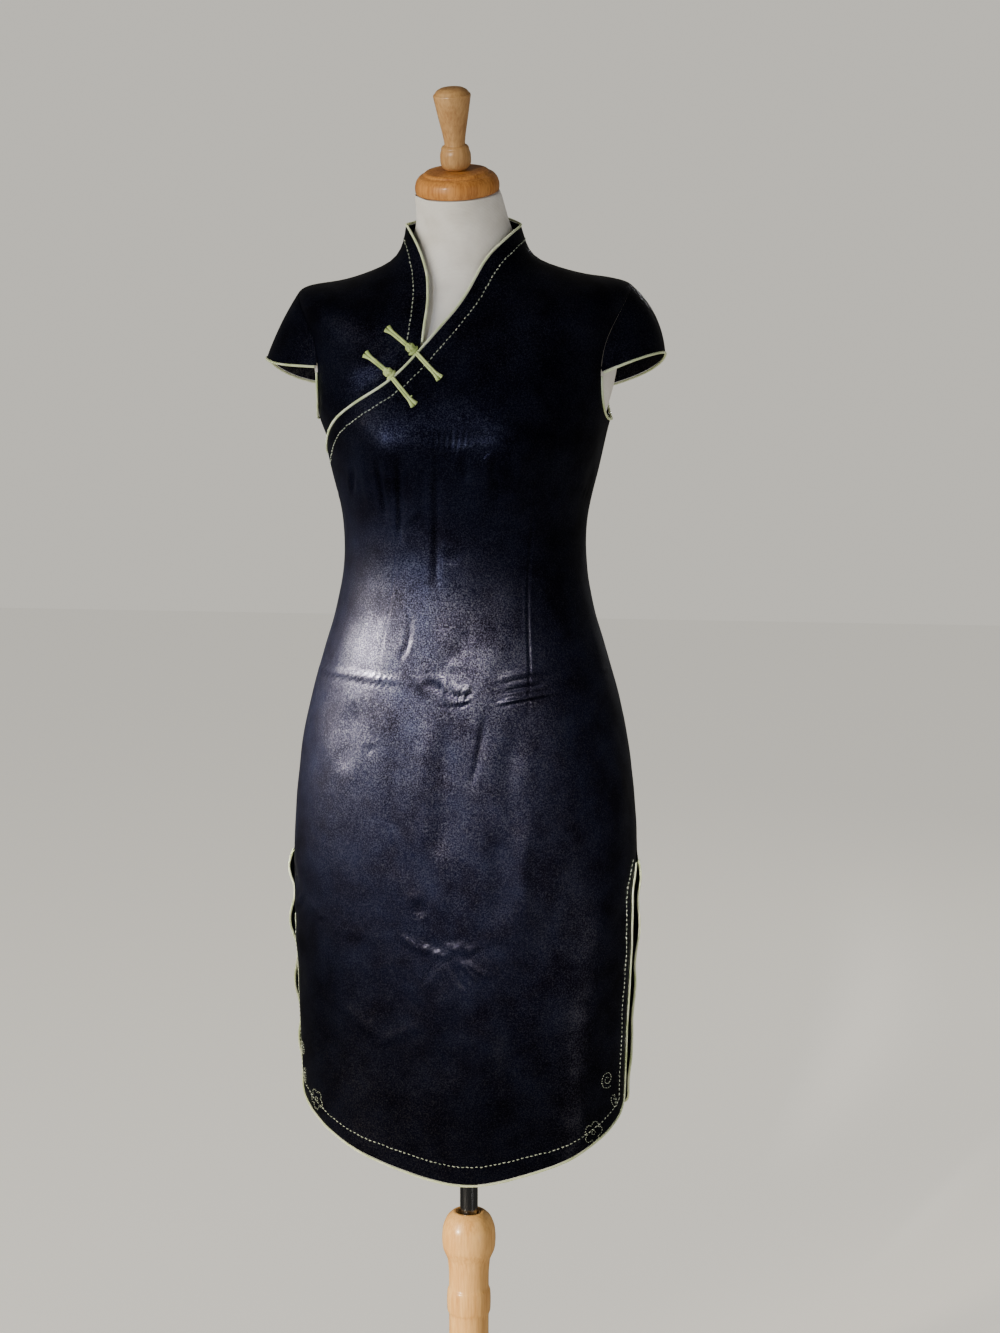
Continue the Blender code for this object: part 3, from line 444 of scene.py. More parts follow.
SKIRT_CREASES = (
    # Low line right
    pinch(1.8, 4.5, (-172, 716), (-166, 727), (-160, 738)),
    # Low right fan
    pinch(1.3, 3.6, (-160, 738), (-156, 733), (-151, 729)),
    pinch(1.2, 3.4, (-158, 730), (-153, 724), (-148, 721)),
    fold(-0.9, 8, (-166, 745), (-170, 757), (-174, 772)),
    fold(-1.0, 8, (-155, 722), (-164, 708), (-174, 698)),
    # Low line middle
    pinch(0.3, 7, (-146, 716), (-134, 708), (-120, 705)),
    # Low crumple
    pinch(1.7, 3.6, (-116, 713), (-112.5, 707), (-108, 703)),
    pinch(1.4, 3.0, (-113, 703), (-106, 700), (-99, 700)),
    pinch(-1.3, 3.0, (-106, 709), (-99, 704), (-93, 699)),
    pinch(1.5, 2.9, (-101, 696), (-94, 694), (-88, 696)),
    pinch(1.3, 3.0, (-94, 703), (-87, 702), (-81, 707)),
    pinch(1.8, 2.9, (-86, 697), (-80, 700), (-76, 706)),
    pinch(-0.9, 3.2, (-97, 711), (-90, 709), (-83, 713)),
    # Low line left
    pinch(0.4, 6, (-76, 706), (-68.8, 713), (-58, 711)),
    # Low dimple
    fold(-1.9, 7, (-107.5, 752), (-105.5, 743), (-104.5, 737)),
    # Low dimple rim
    fold(1.1, 5, (-112, 752), (-109, 758), (-104, 757)),
    # Low spoke
    pinch(1.5, 3.0, (-88, 692), (-82, 678), (-76, 664)),
    pinch(1.4, 2.8, (-84, 690), (-77, 678), (-70, 668)),
    pinch(-1.1, 3.3, (-91, 688), (-88, 672), (-82, 654)),
    pinch(0.5, 6, (-96, 689), (-100, 672), (-106, 654)),
    fold(0.5, 8, (-110, 697), (-120, 682), (-132, 670)),
    # Above low
    fold(-1.5, 11, (-114, 768), (-116, 800), (-117, 850)),
    fold(1.6, 10, (-94, 730), (-95, 770), (-97, 820)),
    fold(-1.9, 11, (-66, 722), (-67, 770), (-70, 840)),
    fold(2.0, 9, (-57, 716), (-56, 770), (-57, 840)),
    # Low slant
    pinch(0.7, 6, (-128, 588), (-115, 604), (-101, 616)),
    pinch(0.6, 8, (-144, 634), (-135, 612), (-127, 594)),
    fold(-0.7, 9, (-118, 655), (-111, 641), (-103, 634)),
    # Low soft
    fold(-1.6, 12, (-90, 650), (-90, 600), (-93, 540)),
    fold(1.9, 14, (-74, 640), (-72, 570), (-72, 500)),
    fold(-1.5, 14, (-56, 690), (-62, 600), (-60, 520)),
    fold(1.2, 14, (-128, 650), (-126, 560), (-122, 480)),
    fold(-0.8, 14, (-150, 690), (-149, 600), (-143, 520)),
    # Left slit sag
    fold(-1.1, 12, (-5, 770), (-14, 735), (-22, 705)),
    fold(1.0, 12, (-6, 700), (-14, 680), (-24, 655)),
    fold(-0.9, 13, (-8, 640), (-16, 618), (-26, 600)),
    # Right slit sag
    fold(-1.0, 10, (-176, 770), (-168, 752), (-160, 744)),
    fold(1.0, 10, (-177, 690), (-170, 684), (-162, 680)),
    fold(-0.8, 11, (-176, 655), (-168, 646), (-160, 640)),
)
TOP_CREASES = (
    # Left armhole pull
    fold(0.5, 12, (-38, 1290), (-52, 1300), (-66, 1304)),
    fold(-0.5, 10, (-36, 1268), (-50, 1270), (-62, 1264)),
    # Left shoulder soft
    fold(0.5, 12, (-30, 1386), (-44, 1372), (-54, 1352)),
    # Left chest soft
    fold(0.5, 14, (-66, 1380), (-62, 1350), (-56, 1318)),
    # Chest soft
    fold(0.5, 16, (-96, 1330), (-84, 1300), (-76, 1276)),
    fold(-0.4, 14, (-112, 1290), (-100, 1276), (-90, 1264)),
    # Diagonal pull
    pinch(0.5, 7, (-146, 1250), (-138, 1248), (-128, 1252)),
    fold(-0.7, 7, (-152, 1240), (-146, 1228), (-138, 1222)),
)
YOKE_CREASES = (
    # Right shoulder soft
    fold(0.6, 12, (-150, 1386), (-141, 1366), (-134, 1344)),
    # Right armhole pull
    fold(0.7, 9, (-146, 1320), (-138, 1318), (-130, 1322)),
    fold(-0.6, 9, (-158, 1296), (-150, 1290), (-142, 1292)),
    # Right chest soft
    fold(-0.4, 10, (-124, 1396), (-126, 1376), (-128, 1352)),
)
FRONT_DARTS = (
    # Left contour dart
    seam(-1.1, 1.5, (-46.4, 1229), (-46.4, 1200), (-45.6, 1157), (-45.6, 1115), (-47.4, 1073),
         (-49.4, 1021), (-51.8, 969), (-53.4, 928)),
    # Right contour dart
    seam(-0.5, 1.3, (-116, 1234), (-121, 1177), (-124.6, 1134), (-128, 1070), (-130, 1010),
         (-129.6, 960), (-129.4, 916)),
    # Left bust dart
    seam(-1.1, 1.6, (-37, 1215), (-25.2, 1193.5), (-14, 1180), (-2, 1166)),
    # Right bust dart
    seam(-0.7, 1.6, (-150, 1206), (-158, 1193.5), (-168, 1180), (-178, 1166)),
)
BACK_CREASES = (
    # Back right dart
    seam(-1.4, 1.7, (126, 1222), (123, 1160), (122, 1105), (122, 1040), (120, 970)),
    # Back left dart
    seam(-1.4, 1.7, (54, 1222), (57, 1160), (58, 1105), (58, 1040), (60, 970)),
    # Back waist
    pinch(1.3, 5, (70, 1118), (82, 1112), (96, 1114), (108, 1120)),
    pinch(-1.1, 5, (74, 1098), (88, 1092), (104, 1096)),
    pinch(0.9, 6, (32, 1108), (42, 1102), (54, 1104)),
    pinch(0.9, 6, (128, 1106), (140, 1100), (152, 1103)),
    # Back hip line
    pinch(1.1, 3.6, (12, 984), (40, 981), (72, 978), (104, 979), (140, 983), (168, 986)),
    # Back hip crumple
    pinch(1.2, 4.2, (82, 990), (90, 984), (99, 985), (104, 978)),
    pinch(-1.1, 4.2, (76, 970), (86, 966), (96, 969)),
    # Back seat soft
    fold(0.9, 14, (66, 950), (64, 890), (66, 820)),
    fold(-0.9, 14, (112, 945), (116, 880), (114, 810)),
    # Back low line
    pinch(1.0, 6, (20, 716), (48, 706), (78, 703), (108, 707), (140, 714)),
    # Back low crumple
    pinch(1.2, 5, (86, 712), (94, 702), (103, 699)),
    pinch(-1.0, 5, (70, 694), (80, 688), (90, 690)),
    # Back low spoke
    pinch(0.9, 8, (92, 690), (98, 660), (106, 632)),
    # Back slant
    pinch(0.9, 9, (58, 640), (68, 612), (74, 580)),
    # Back low soft
    fold(0.9, 14, (84, 640), (86, 570), (84, 500)),
    fold(-0.9, 15, (112, 660), (110, 580), (108, 500)),
    # Back left slit sag
    fold(-1.3, 13, (6, 760), (16, 730), (28, 706)),
    fold(1.1, 13, (6, 672), (18, 650), (30, 636)),
    # Back right slit sag
    fold(-1.3, 13, (174, 756), (163, 728), (150, 708)),
    fold(1.1, 13, (174, 668), (162, 648), (150, 636)),
    # Shoulder blade left
    fold(0.8, 16, (46, 1330), (60, 1300), (68, 1262)),
    # Shoulder blade right
    fold(0.8, 16, (134, 1330), (120, 1300), (112, 1262)),
    # Back armhole pull left
    fold(-0.7, 10, (26, 1276), (42, 1268), (58, 1266)),
    # Back armhole pull right
    fold(-0.7, 10, (154, 1276), (138, 1268), (122, 1266)),
    # Back neck soft
    fold(-0.6, 10, (72, 1420), (90, 1412), (108, 1420)),
)


@dataclass
class CreaseField:
    """Height that a set of creases adds to the cloth, with a slight unevenness everywhere.

    A degree counts as 2.2 mm along a crease, and a crease fades over 0.3 of it at each end.
    """

    surface: DressSurface
    creases: tuple[Crease, ...]
    seed: int
    uneven: float = 0.22 * MM
    wavelengths: tuple[float, float] = (22 * MM, 90 * MM)
    waves: int = 26
    reach: float = 3.2
    degree: float = 2.2
    ends: float = 0.3

    def line(self, crease: Crease) -> tuple[np.ndarray, np.ndarray, np.ndarray]:
        """A crease's points on the surface, close together, with normals and directions."""
        table = np.array(crease.path, float)
        steps = np.concatenate([[0.0], np.cumsum(np.hypot(np.diff(table[:, 0]) * self.degree,
                                                          np.diff(table[:, 1])))])
        count = max(12, int(steps[-1] / min(2.0, crease.wide * 0.5)))
        dense = Spline(steps, table).at(np.linspace(0, steps[-1], count))
        points, out = self.surface.place(dense[:, 0], dense[:, 1] * MM)
        return points, out, tangents(points)

    def height(self, points: np.ndarray) -> np.ndarray:
        """Height at points near the surface.

        Each crease adds its profile of the distance to its nearest point, in its own widths:
        exp(-s^2) for a fold, -s exp(0.5 - s^2) for a pinch, and a narrow groove less a wider
        shoulder for a seam. It fades in and out over its ends.

        Args:
            points: points on the surface, of any shape with x, y and z last.

        Returns:
            Heights in metres along the surface's normals.
        """
        flat = points.reshape(-1, 3)
        lift = self.unevenness(flat)
        for crease in self.creases:
            path, out, along = self.line(crease)
            wide = crease.wide * MM
            margin = wide * self.reach
            low, high = path.min(0) - margin, path.max(0) + margin
            near = np.flatnonzero(((flat > low) & (flat < high)).all(1))
            if not len(near):
                continue
            offset = flat[near][:, None, :] - path[None]
            nearest = (offset ** 2).sum(-1).argmin(1)
            off = offset[np.arange(len(near)), nearest]
            direction, face = along[nearest], out[nearest]
            off = off - (off * direction).sum(-1, keepdims=True) * direction
            across = (off * np.cross(face, direction)).sum(-1) / wide
            share = nearest / (len(path) - 1)
            fade = smooth(share / self.ends) * smooth((1 - share) / self.ends)
            lift[near] += crease.deep * MM * fade * self.profile(crease.profile, across)
        return lift.reshape(points.shape[:-1])

    @staticmethod
    def profile(kind: Profile, across: np.ndarray) -> np.ndarray:
        """The cross-section at distances given in widths."""
        if kind is Profile.FOLD:
            return np.exp(-across ** 2)
        if kind is Profile.PINCH:
            return (across * 1.1 + 0.45) * np.exp(0.5 - across ** 2)
        return np.exp(-across ** 2) - 0.45 * np.exp(-(across / 3.2) ** 2)

    def unevenness(self, flat: np.ndarray) -> np.ndarray:
        """Sum of sines along seeded random directions: the cloth is never quite even."""
        random = np.random.default_rng(self.seed)
        lift = np.zeros(len(flat))
        for _ in range(self.waves):
            direction = unit(random.normal(size=3) * (1, 1, 0.7))
            wave = random.uniform(*self.wavelengths)
            phase = random.uniform(0, 2 * math.pi)
            strength = math.sqrt(wave / self.wavelengths[1])
            lift += strength * np.sin(flat @ direction * 2 * math.pi / wave + phase)
        return lift * self.uneven / math.sqrt(self.waves / 4)


@dataclass(frozen=True)
class Side:
    """What differs between the wearer's sides, as in the solids."""

    word: str
    sign: int
    slit_gap: float
    flare: float
    tip_z: float
    bulge: float
    notch_up: float
    front_sag: float
    back_sag: float


LEFT = Side("left", 1, 8.0, 3, 1328, 7.0, 3.5, 0, 5)
RIGHT = Side("right", -1, 3.0, 7, 1321, 2.5, 10, 8, 7)


@dataclass(frozen=True)
class Zone:
    """A stretch in which a grid's lines lie closer: its middle, half width and extra density."""

    middle: float
    half: float
    extra: float


def spaced(low: float, high: float, count: int, zones: tuple[Zone, ...],
           density: np.ndarray | None = None) -> np.ndarray:
    """Places between two ends, closer in the zones and where a given density is higher.

    Args:
        low: first place.
        high: last place.
        count: how many places.
        zones: stretches with their extra density.
        density: density at even steps from the first to the last place, or none for an even one.

    Returns:
        The places, so that equal shares of the summed density lie between them.
    """
    at = np.linspace(low, high, 2001)
    weight = np.ones_like(at) if density is None else density.copy()
    for zone in zones:
        weight = weight + zone.extra * np.exp(-((at - zone.middle) / zone.half) ** 4)
    total = np.concatenate([[0.0], np.cumsum((weight[1:] + weight[:-1]) / 2)])
    return np.interp(np.linspace(0, total[-1], count), total, at)


COLUMN_ZONES = {
    "front": (Zone(40, 6, 1.2), Zone(-33, 9, 1.1), Zone(-3, 17, 0.9)),
    "back": (Zone(33, 5, 1.2), Zone(-33, 5, 1.2), Zone(2, 14, 0.6)),
}
FRONT_EDGE = (
    (-180, 1214), (-168, 1224), (-158, 1241), (-150, 1256), (-142, 1269), (-133, 1283),
    (-124.4, 1297), (-116.4, 1314.5), (-110, 1331), (-97, 1361), (-87, 1379.5), (-74, 1403),
    (-54, 1429.5), (-37, 1443), (-24, 1451), (0, 1459),
)
YOKE_NECK = (
    (-180, 1459), (-164, 1457), (-145, 1442.5), (-131.5, 1423), (-122, 1406), (-116.3, 1391),
    (-113.1, 1375), (-111.3, 1355), (-110.6, 1336),
)


@dataclass
class Panel:
    """A cut piece as a grid of outer points with normals, its first row at the bottom."""

    name: str
    points: np.ndarray
    out: np.ndarray
    underarm: int = 0
    tip: int = 0
    slit: int = 0


@dataclass
class Pattern:
    """The dress's cut: sizes that its solids have too, and the grid of each cut piece."""

    surface: DressSurface
    cloth: float = 1.2 * MM
    seam: float = 0.3 * MM
    underlap: float = 28 * MM
    tuck: float = 3.1 * MM
    tuck_deeper: float = 1.4 * MM
    tuck_flat: float = 10 * MM
    tuck_fade: float = 28 * MM
    hem_low: float = 441.5 * MM
    hem_rise: float = 75 * MM
    hem_power: float = 1.9
    hem_tilt: float = 9 * MM
    corner_rise: float = 10 * MM
    corner_share: float = 0.09
    slit_top: float = 800 * MM
    slit_open: float = 60 * MM
    slit_start: float = 1.3
    back_gap: float = 0.35
    flare_wave: float = 0.6
    flare_pitch: float = 68 * MM
    arm_inset: float = 22.0
    arm_inset_back: float = 20.0
    arm_skew: float = 0.8
    arm_reach: float = 75.0
    column_lean: float = 0.6
    yoke_lean: float = 1.7
    neck_close: float = 1.6
    notch_front: float = 0.5
    notch_back: float = 0.4
    sleeve_drop: float = 3 * MM
    sleeve_in: float = 1.2 * MM
    sleeve_tip: tuple[float, float] = (213, -1)
    sleeve_up: tuple[float, float] = (0.85, 0.5)
    skirt_rows: int = 92
    waist_rows: int = 118
    arm_rows: int = 30
    neck_rows: int = 20
    sleeve_rows: int = 26
    held_side: float = 0.03
    held_top: float = 0.02
    held_above: float = 0.79
    row_zones: tuple[Zone, ...] = (Zone(983, 19, 3.4), Zone(706, 22, 1.5), Zone(1238, 14, 0.6))

    def __post_init__(self) -> None:
        """Distances up the side seam of the hem and of the slit's top."""
        self.slit_up = float(self.surface.up_at(0.0, self.slit_top))
        self.hem_up = float(self.surface.up_at(0.0, self.hem_z(np.array(0.0))))

    def hem_z(self, angle: np.ndarray) -> np.ndarray:
        """Height of the hem: a power curve up to the slits, a rounded corner and a tilt."""
        from_middle = np.abs(np.abs(angle) - 90)
        corner = np.clip((from_middle / 90 - 1 + self.corner_share) / self.corner_share, 0, 1)
        rise = self.hem_rise * (from_middle / 90) ** self.hem_power
        rise = rise + self.corner_rise * (1 - np.sqrt(1 - corner ** 2))
        return self.hem_low + rise - self.hem_tilt * np.cos(np.radians(angle))

    @staticmethod
    def edge_z(angle: np.ndarray) -> np.ndarray:
        """Height of the front's long upper edge at an angle in degrees."""
        table = np.array(FRONT_EDGE, float)
        return Spline(table[:, 0], table[:, 1:] * MM).at(angle)[..., 0]

    def side_rows(self, first: np.ndarray) -> np.ndarray:
        """Distances up the side seam for all rows, from the first to the collar's top."""
        station = self.surface.station
        underarm, tip, collar = station("underarm"), station("shoulder tip"), station("collar top")
        share = np.arange(self.arm_rows + 1) / self.arm_rows
        arm = underarm + (tip - underarm) * ((1 - np.cos(math.pi * share)) / 2) ** (1 / self.arm_skew)
        climb = np.arange(1, self.neck_rows + 1) / self.neck_rows
        return np.concatenate([first, arm, tip + (collar - tip) * climb ** self.neck_close])

    def spread(self, count: int, zones: tuple[Zone, ...]) -> np.ndarray:
        """Angles in degrees from -90 to 90 about a panel's middle.

        They are closer near the seams, by the slope of (1 - l) s + l sin(s pi/2), and in the
        zones, where darts and small creases are.
        """
        lean, share = self.column_lean, np.linspace(-1, 1, 2001)
        even = (1 - lean) * share + lean * np.sin(share * math.pi / 2)
        near = 1 / np.gradient(np.interp(share, even, share), share)
        return spaced(-90, 90, count, zones, 1 / near)

    def arm_cut(self, up: np.ndarray, deepest: float) -> np.ndarray:
        """Depth of the armhole in degrees: half an ellipse over its height."""
        underarm, tip = self.surface.station("underarm"), self.surface.station("shoulder tip")
        share = np.clip((up - underarm) / (tip - underarm), 0, 1) ** self.arm_skew
        return deepest * np.sqrt(np.clip(1 - (2 * share - 1) ** 2, 0, 1))

    @staticmethod
    def on_left(angle: np.ndarray, left: float, right: float) -> np.ndarray:
        """The left or the right side's value, by which side an angle lies on."""
        return np.where(np.cos(np.radians(angle)) > 0, left, right)

    def slit_cut(self, angle: np.ndarray, up: np.ndarray) -> np.ndarray:
        """Distance in degrees of the front's slit edge from the side seam."""
        down = (self.slit_up - up) / self.slit_open
        gap = self.on_left(angle, LEFT.slit_gap, RIGHT.slit_gap)
        cut = self.slit_start + (gap - self.slit_start) * smooth(down)
        return np.where(down > 0.05, cut, 0.0)

    def panel(self, name: str, count: int, middle: float, deepest: float, slit_share: float,
              right_arm: float, creases: CreaseField) -> Panel:
        """A whole front or back.

        The hem moves only the rows below the slit's top, and the front's columns end at its
        long edge. Near a side seam the columns give way to the slit and to the armhole. The
        creases then move each point along its normal.

        Args:
            name: the piece's name.
            count: columns.
            middle: angle of the panel's middle, in degrees.
            deepest: depth of the armhole in degrees.
            slit_share: share of the slit's gap on this panel.
            right_arm: 1 where the right side has an armhole, else 0.
            creases: what lifts the cloth.

        Returns:
            The panel's grid.
        """
        surface = self.surface
        zones = tuple(Zone(float(surface.up_at(0.0, zone.middle * MM)), zone.half * MM, zone.extra)
                      for zone in self.row_zones)
        skirt = spaced(self.hem_up, self.slit_up, self.skirt_rows, zones)
        waist = spaced(self.slit_up, surface.station("underarm"), self.waist_rows + 1, zones)[1:-1]
        rows = self.side_rows(np.concatenate([skirt, waist]))[:, None]
        slit = self.skirt_rows - 1
        low = np.clip(1 - (rows - rows[0]) / (rows[slit] - rows[0]), 0, 1)
        spread = self.spread(count, COLUMN_ZONES[name])
        angle = (middle + spread)[None, :]
        turned = np.radians(angle)
        hem = surface.up_at(turned, self.hem_z(angle))
        if middle < 0:
            top = surface.up_at(turned, self.edge_z(angle))
        else:
            top = np.full(angle.shape, surface.station("collar top"))
        even = rows + (hem - rows[0]) * low
        up = hem + (even - hem) * (top - hem) / (rows[-1] - hem)
        near = np.clip(1 - (90 - np.abs(spread)) / self.arm_reach, 0, 1)[None, :]
        cut = self.arm_cut(up, deepest) * self.on_left(angle, 1, right_arm)
        cut = cut + slit_share * self.slit_cut(angle, up)
        angle = np.radians(angle - np.sign(spread)[None, :] * near * cut)
        points, out = surface.point(angle, up), surface.normal(angle, up)
        points[:, [0, -1], 1] += np.sign(middle) * self.seam / 2
        lift = creases.height(points) * self.calm(points)
        if name == "back":
            lift = lift + self.swing(spread, up, points)
        points = points + out * lift[..., None]
        out = grid_out(points, out)
        first = len(skirt) + len(waist)
        return Panel(name, points, out, first, first + self.arm_rows, slit)

    def calm(self, points: np.ndarray) -> np.ndarray:
        """Share of the creases that is left near the collar and the seams, where it's held."""
        column = np.linspace(0, 1, points.shape[1])[None, :]
        held = smooth(np.minimum(column, 1 - column) / self.held_side)
        below_slit = points[..., 2] < self.held_above
        row = np.linspace(1, 0, points.shape[0])[:, None]
        return np.where(below_slit, 1.0, held) * smooth(row / self.held_top)

    def swing(self, spread: np.ndarray, up: np.ndarray, points: np.ndarray) -> np.ndarray:
        """How far the back's slit edges stand off, in a shallow wave that dies to the middle."""
        down = np.clip((self.slit_up - up) / (self.slit_up - self.hem_up), 0, 1)
        wave = 1 + self.flare_wave * np.sin(2 * math.pi * points[..., 2] / self.flare_pitch)
        reach = self.on_left(90 + spread, LEFT.flare, RIGHT.flare)[None, :] * MM
        edge = (np.abs(spread)[None, :] / 90) ** 8
        return reach * wave * smooth(down * 5) * (1 - 0.7 * down) * edge

    def yoke_tuck(self, angle: np.ndarray, z: np.ndarray) -> np.ndarray:
        """How far the yoke lies in under the front: full at the edge, fading out above it."""
        above = z - self.edge_z(np.clip(angle, -180, 0))
        deeper = self.tuck_deeper * np.clip(-above / self.underlap, 0, 1)
        return self.tuck * (1 - smooth((above - self.tuck_flat) / self.tuck_fade)) + deeper

    def yoke(self, creases: CreaseField, count: int) -> Panel:
        """The right yoke: its columns fan from under the front's edge to the neck edge."""
        surface = self.surface
        table = np.array(YOKE_NECK, float)
        up = surface.up_at(np.radians(table[:, 0]), table[:, 1] * MM)
        length = lengths(surface.point(np.radians(table[:, 0]), up))
        spread = np.linspace(0, 1, count) ** self.yoke_lean
        neck = Spline(length, np.stack([table[:, 0], up], -1)).at(spread * length[-1])
        low_angle = neck[0, 0] + (neck[-1, 0] - neck[0, 0]) * spread
        low_up = surface.up_at(np.radians(low_angle), self.edge_z(low_angle) - self.underlap)
        first = np.linspace(low_up[0], surface.station("underarm"), 20)[:-1]
        rows = self.side_rows(first)
        share = ((rows - rows[0]) / (rows[-1] - rows[0]))[:, None]
        angle = low_angle + (neck[:, 0] - low_angle) * share
        up = low_up + (neck[:, 1] - low_up) * share
        near = np.clip(1 - (angle + 180) / (self.arm_reach - 10), 0, 1)
        angle = angle + near * self.arm_cut(up, self.arm_inset)
        turned = np.radians(angle)
        points, out = surface.point(turned, up), surface.normal(turned, up)
        held = smooth(1 - share + 0.2) * smooth(spread[None, :] / 0.06)
        lift = creases.height(points) * held - self.yoke_tuck(angle, points[..., 2])
        points = points + out * lift[..., None]
        points[:, 0, 1] -= self.seam / 2
        return Panel("yoke", points, grid_out(points, out), len(first), len(first) + self.arm_rows)

    @staticmethod
    def arm_hole(sign: int) -> np.ndarray:
        """A point in the middle of the armhole on one side."""
        return np.array([sign * 170 * MM, 0.0, 1305 * MM])

    @staticmethod
    def armhole(panel: Panel, column: int) -> tuple[np.ndarray, np.ndarray]:
        """A panel's rim round the armhole, from the underarm to the tip, with normals."""
        rows = slice(panel.underarm, panel.tip + 1)
        return panel.points[rows, column], panel.out[rows, column]

    def sleeve(self, side: Side, half: Panel, back: Panel) -> Panel:
        """A cap sleeve, lofted from the armhole's upper rim to its hem.

        The hem is half an ellipse from just below the seam's front end, through its tip, to
        just below its back end, with a sag. Between rim and hem the cloth rounds out as
        4s(1 - s), and shallow folds run from the seam to the hem.

        Args:
            side: the wearer's side.
            half: the front or the yoke, whichever has the front of this armhole.
            back: the back.

        Returns:
            The sleeve's grid, its first row at the seam.
        """
        sign = side.sign
        f_points, f_out = self.armhole(half, -1 if sign > 0 else 0)
        b_points, b_out = self.armhole(back, 0 if sign > 0 else -1)
        front_row = int(self.notch_front * self.arm_rows)
        back_row = int(self.notch_back * self.arm_rows)
        crown = (f_points[-1] + b_points[-1]) / 2
        seam = np.concatenate([f_points[front_row:-1], [crown], b_points[back_row:-1][::-1]])
        out = np.concatenate([f_out[front_row:], b_out[back_row:-1][::-1]])
        seam, out = trimmed(seam, out, side.notch_up * MM)
        seam, out = resampled(seam, out, 3 * MM)
        towards = rim_side(seam, out, self.arm_hole(sign) - seam)
        seam = seam + towards * (self.seam + 0.1 * MM)
        first = seam[0] + unit(seam[0] - seam[1]) * self.sleeve_drop + towards[0] * self.sleeve_in
        last = seam[-1] + unit(seam[-1] - seam[-2]) * self.sleeve_drop + towards[-1] * self.sleeve_in
        tip = np.array((sign * self.sleeve_tip[0], self.sleeve_tip[1], side.tip_z)) * MM
        centre, reach_half = (first + last) / 2, (last - first) / 2
        reach = tip + (RINGS[0].mid_x * MM, 0, 0) - centre
        length = lengths(seam)
        turn = (math.pi * length / length[-1])[:, None]
        sag = np.where(turn < math.pi / 2, side.front_sag, side.back_sag) * np.abs(np.sin(2 * turn))
        hem = centre - reach_half * np.cos(turn) + reach * np.sin(turn) - sag * (0, 0, MM)
        share = np.linspace(0, 1, self.sleeve_rows)[:, None, None]
        points = seam + (hem - seam) * share
        lift = unit(np.array([sign * self.sleeve_up[0], 0.0, self.sleeve_up[1]])) * side.bulge * MM
        points = points + lift * (4 * share * (1 - share)) * np.sin(turn) ** 0.5
        hint = points - self.arm_hole(sign) * (0, 0, 1)
        normals = grid_out(points, hint)
        wave = np.sin(turn * 5 + 0.6) * 0.6 + np.sin(turn * 11 + 2.0) * 0.35
        points = points + normals * wave * np.sin(share * math.pi) ** 0.8 * np.sin(turn) * MM
        return Panel(f"sleeve_{side.word}", points, grid_out(points, hint))


@dataclass(frozen=True)
class Socket:
    """A material slot of the record and the object that was built for it."""

    slot: str
    material: bpy.types.Material


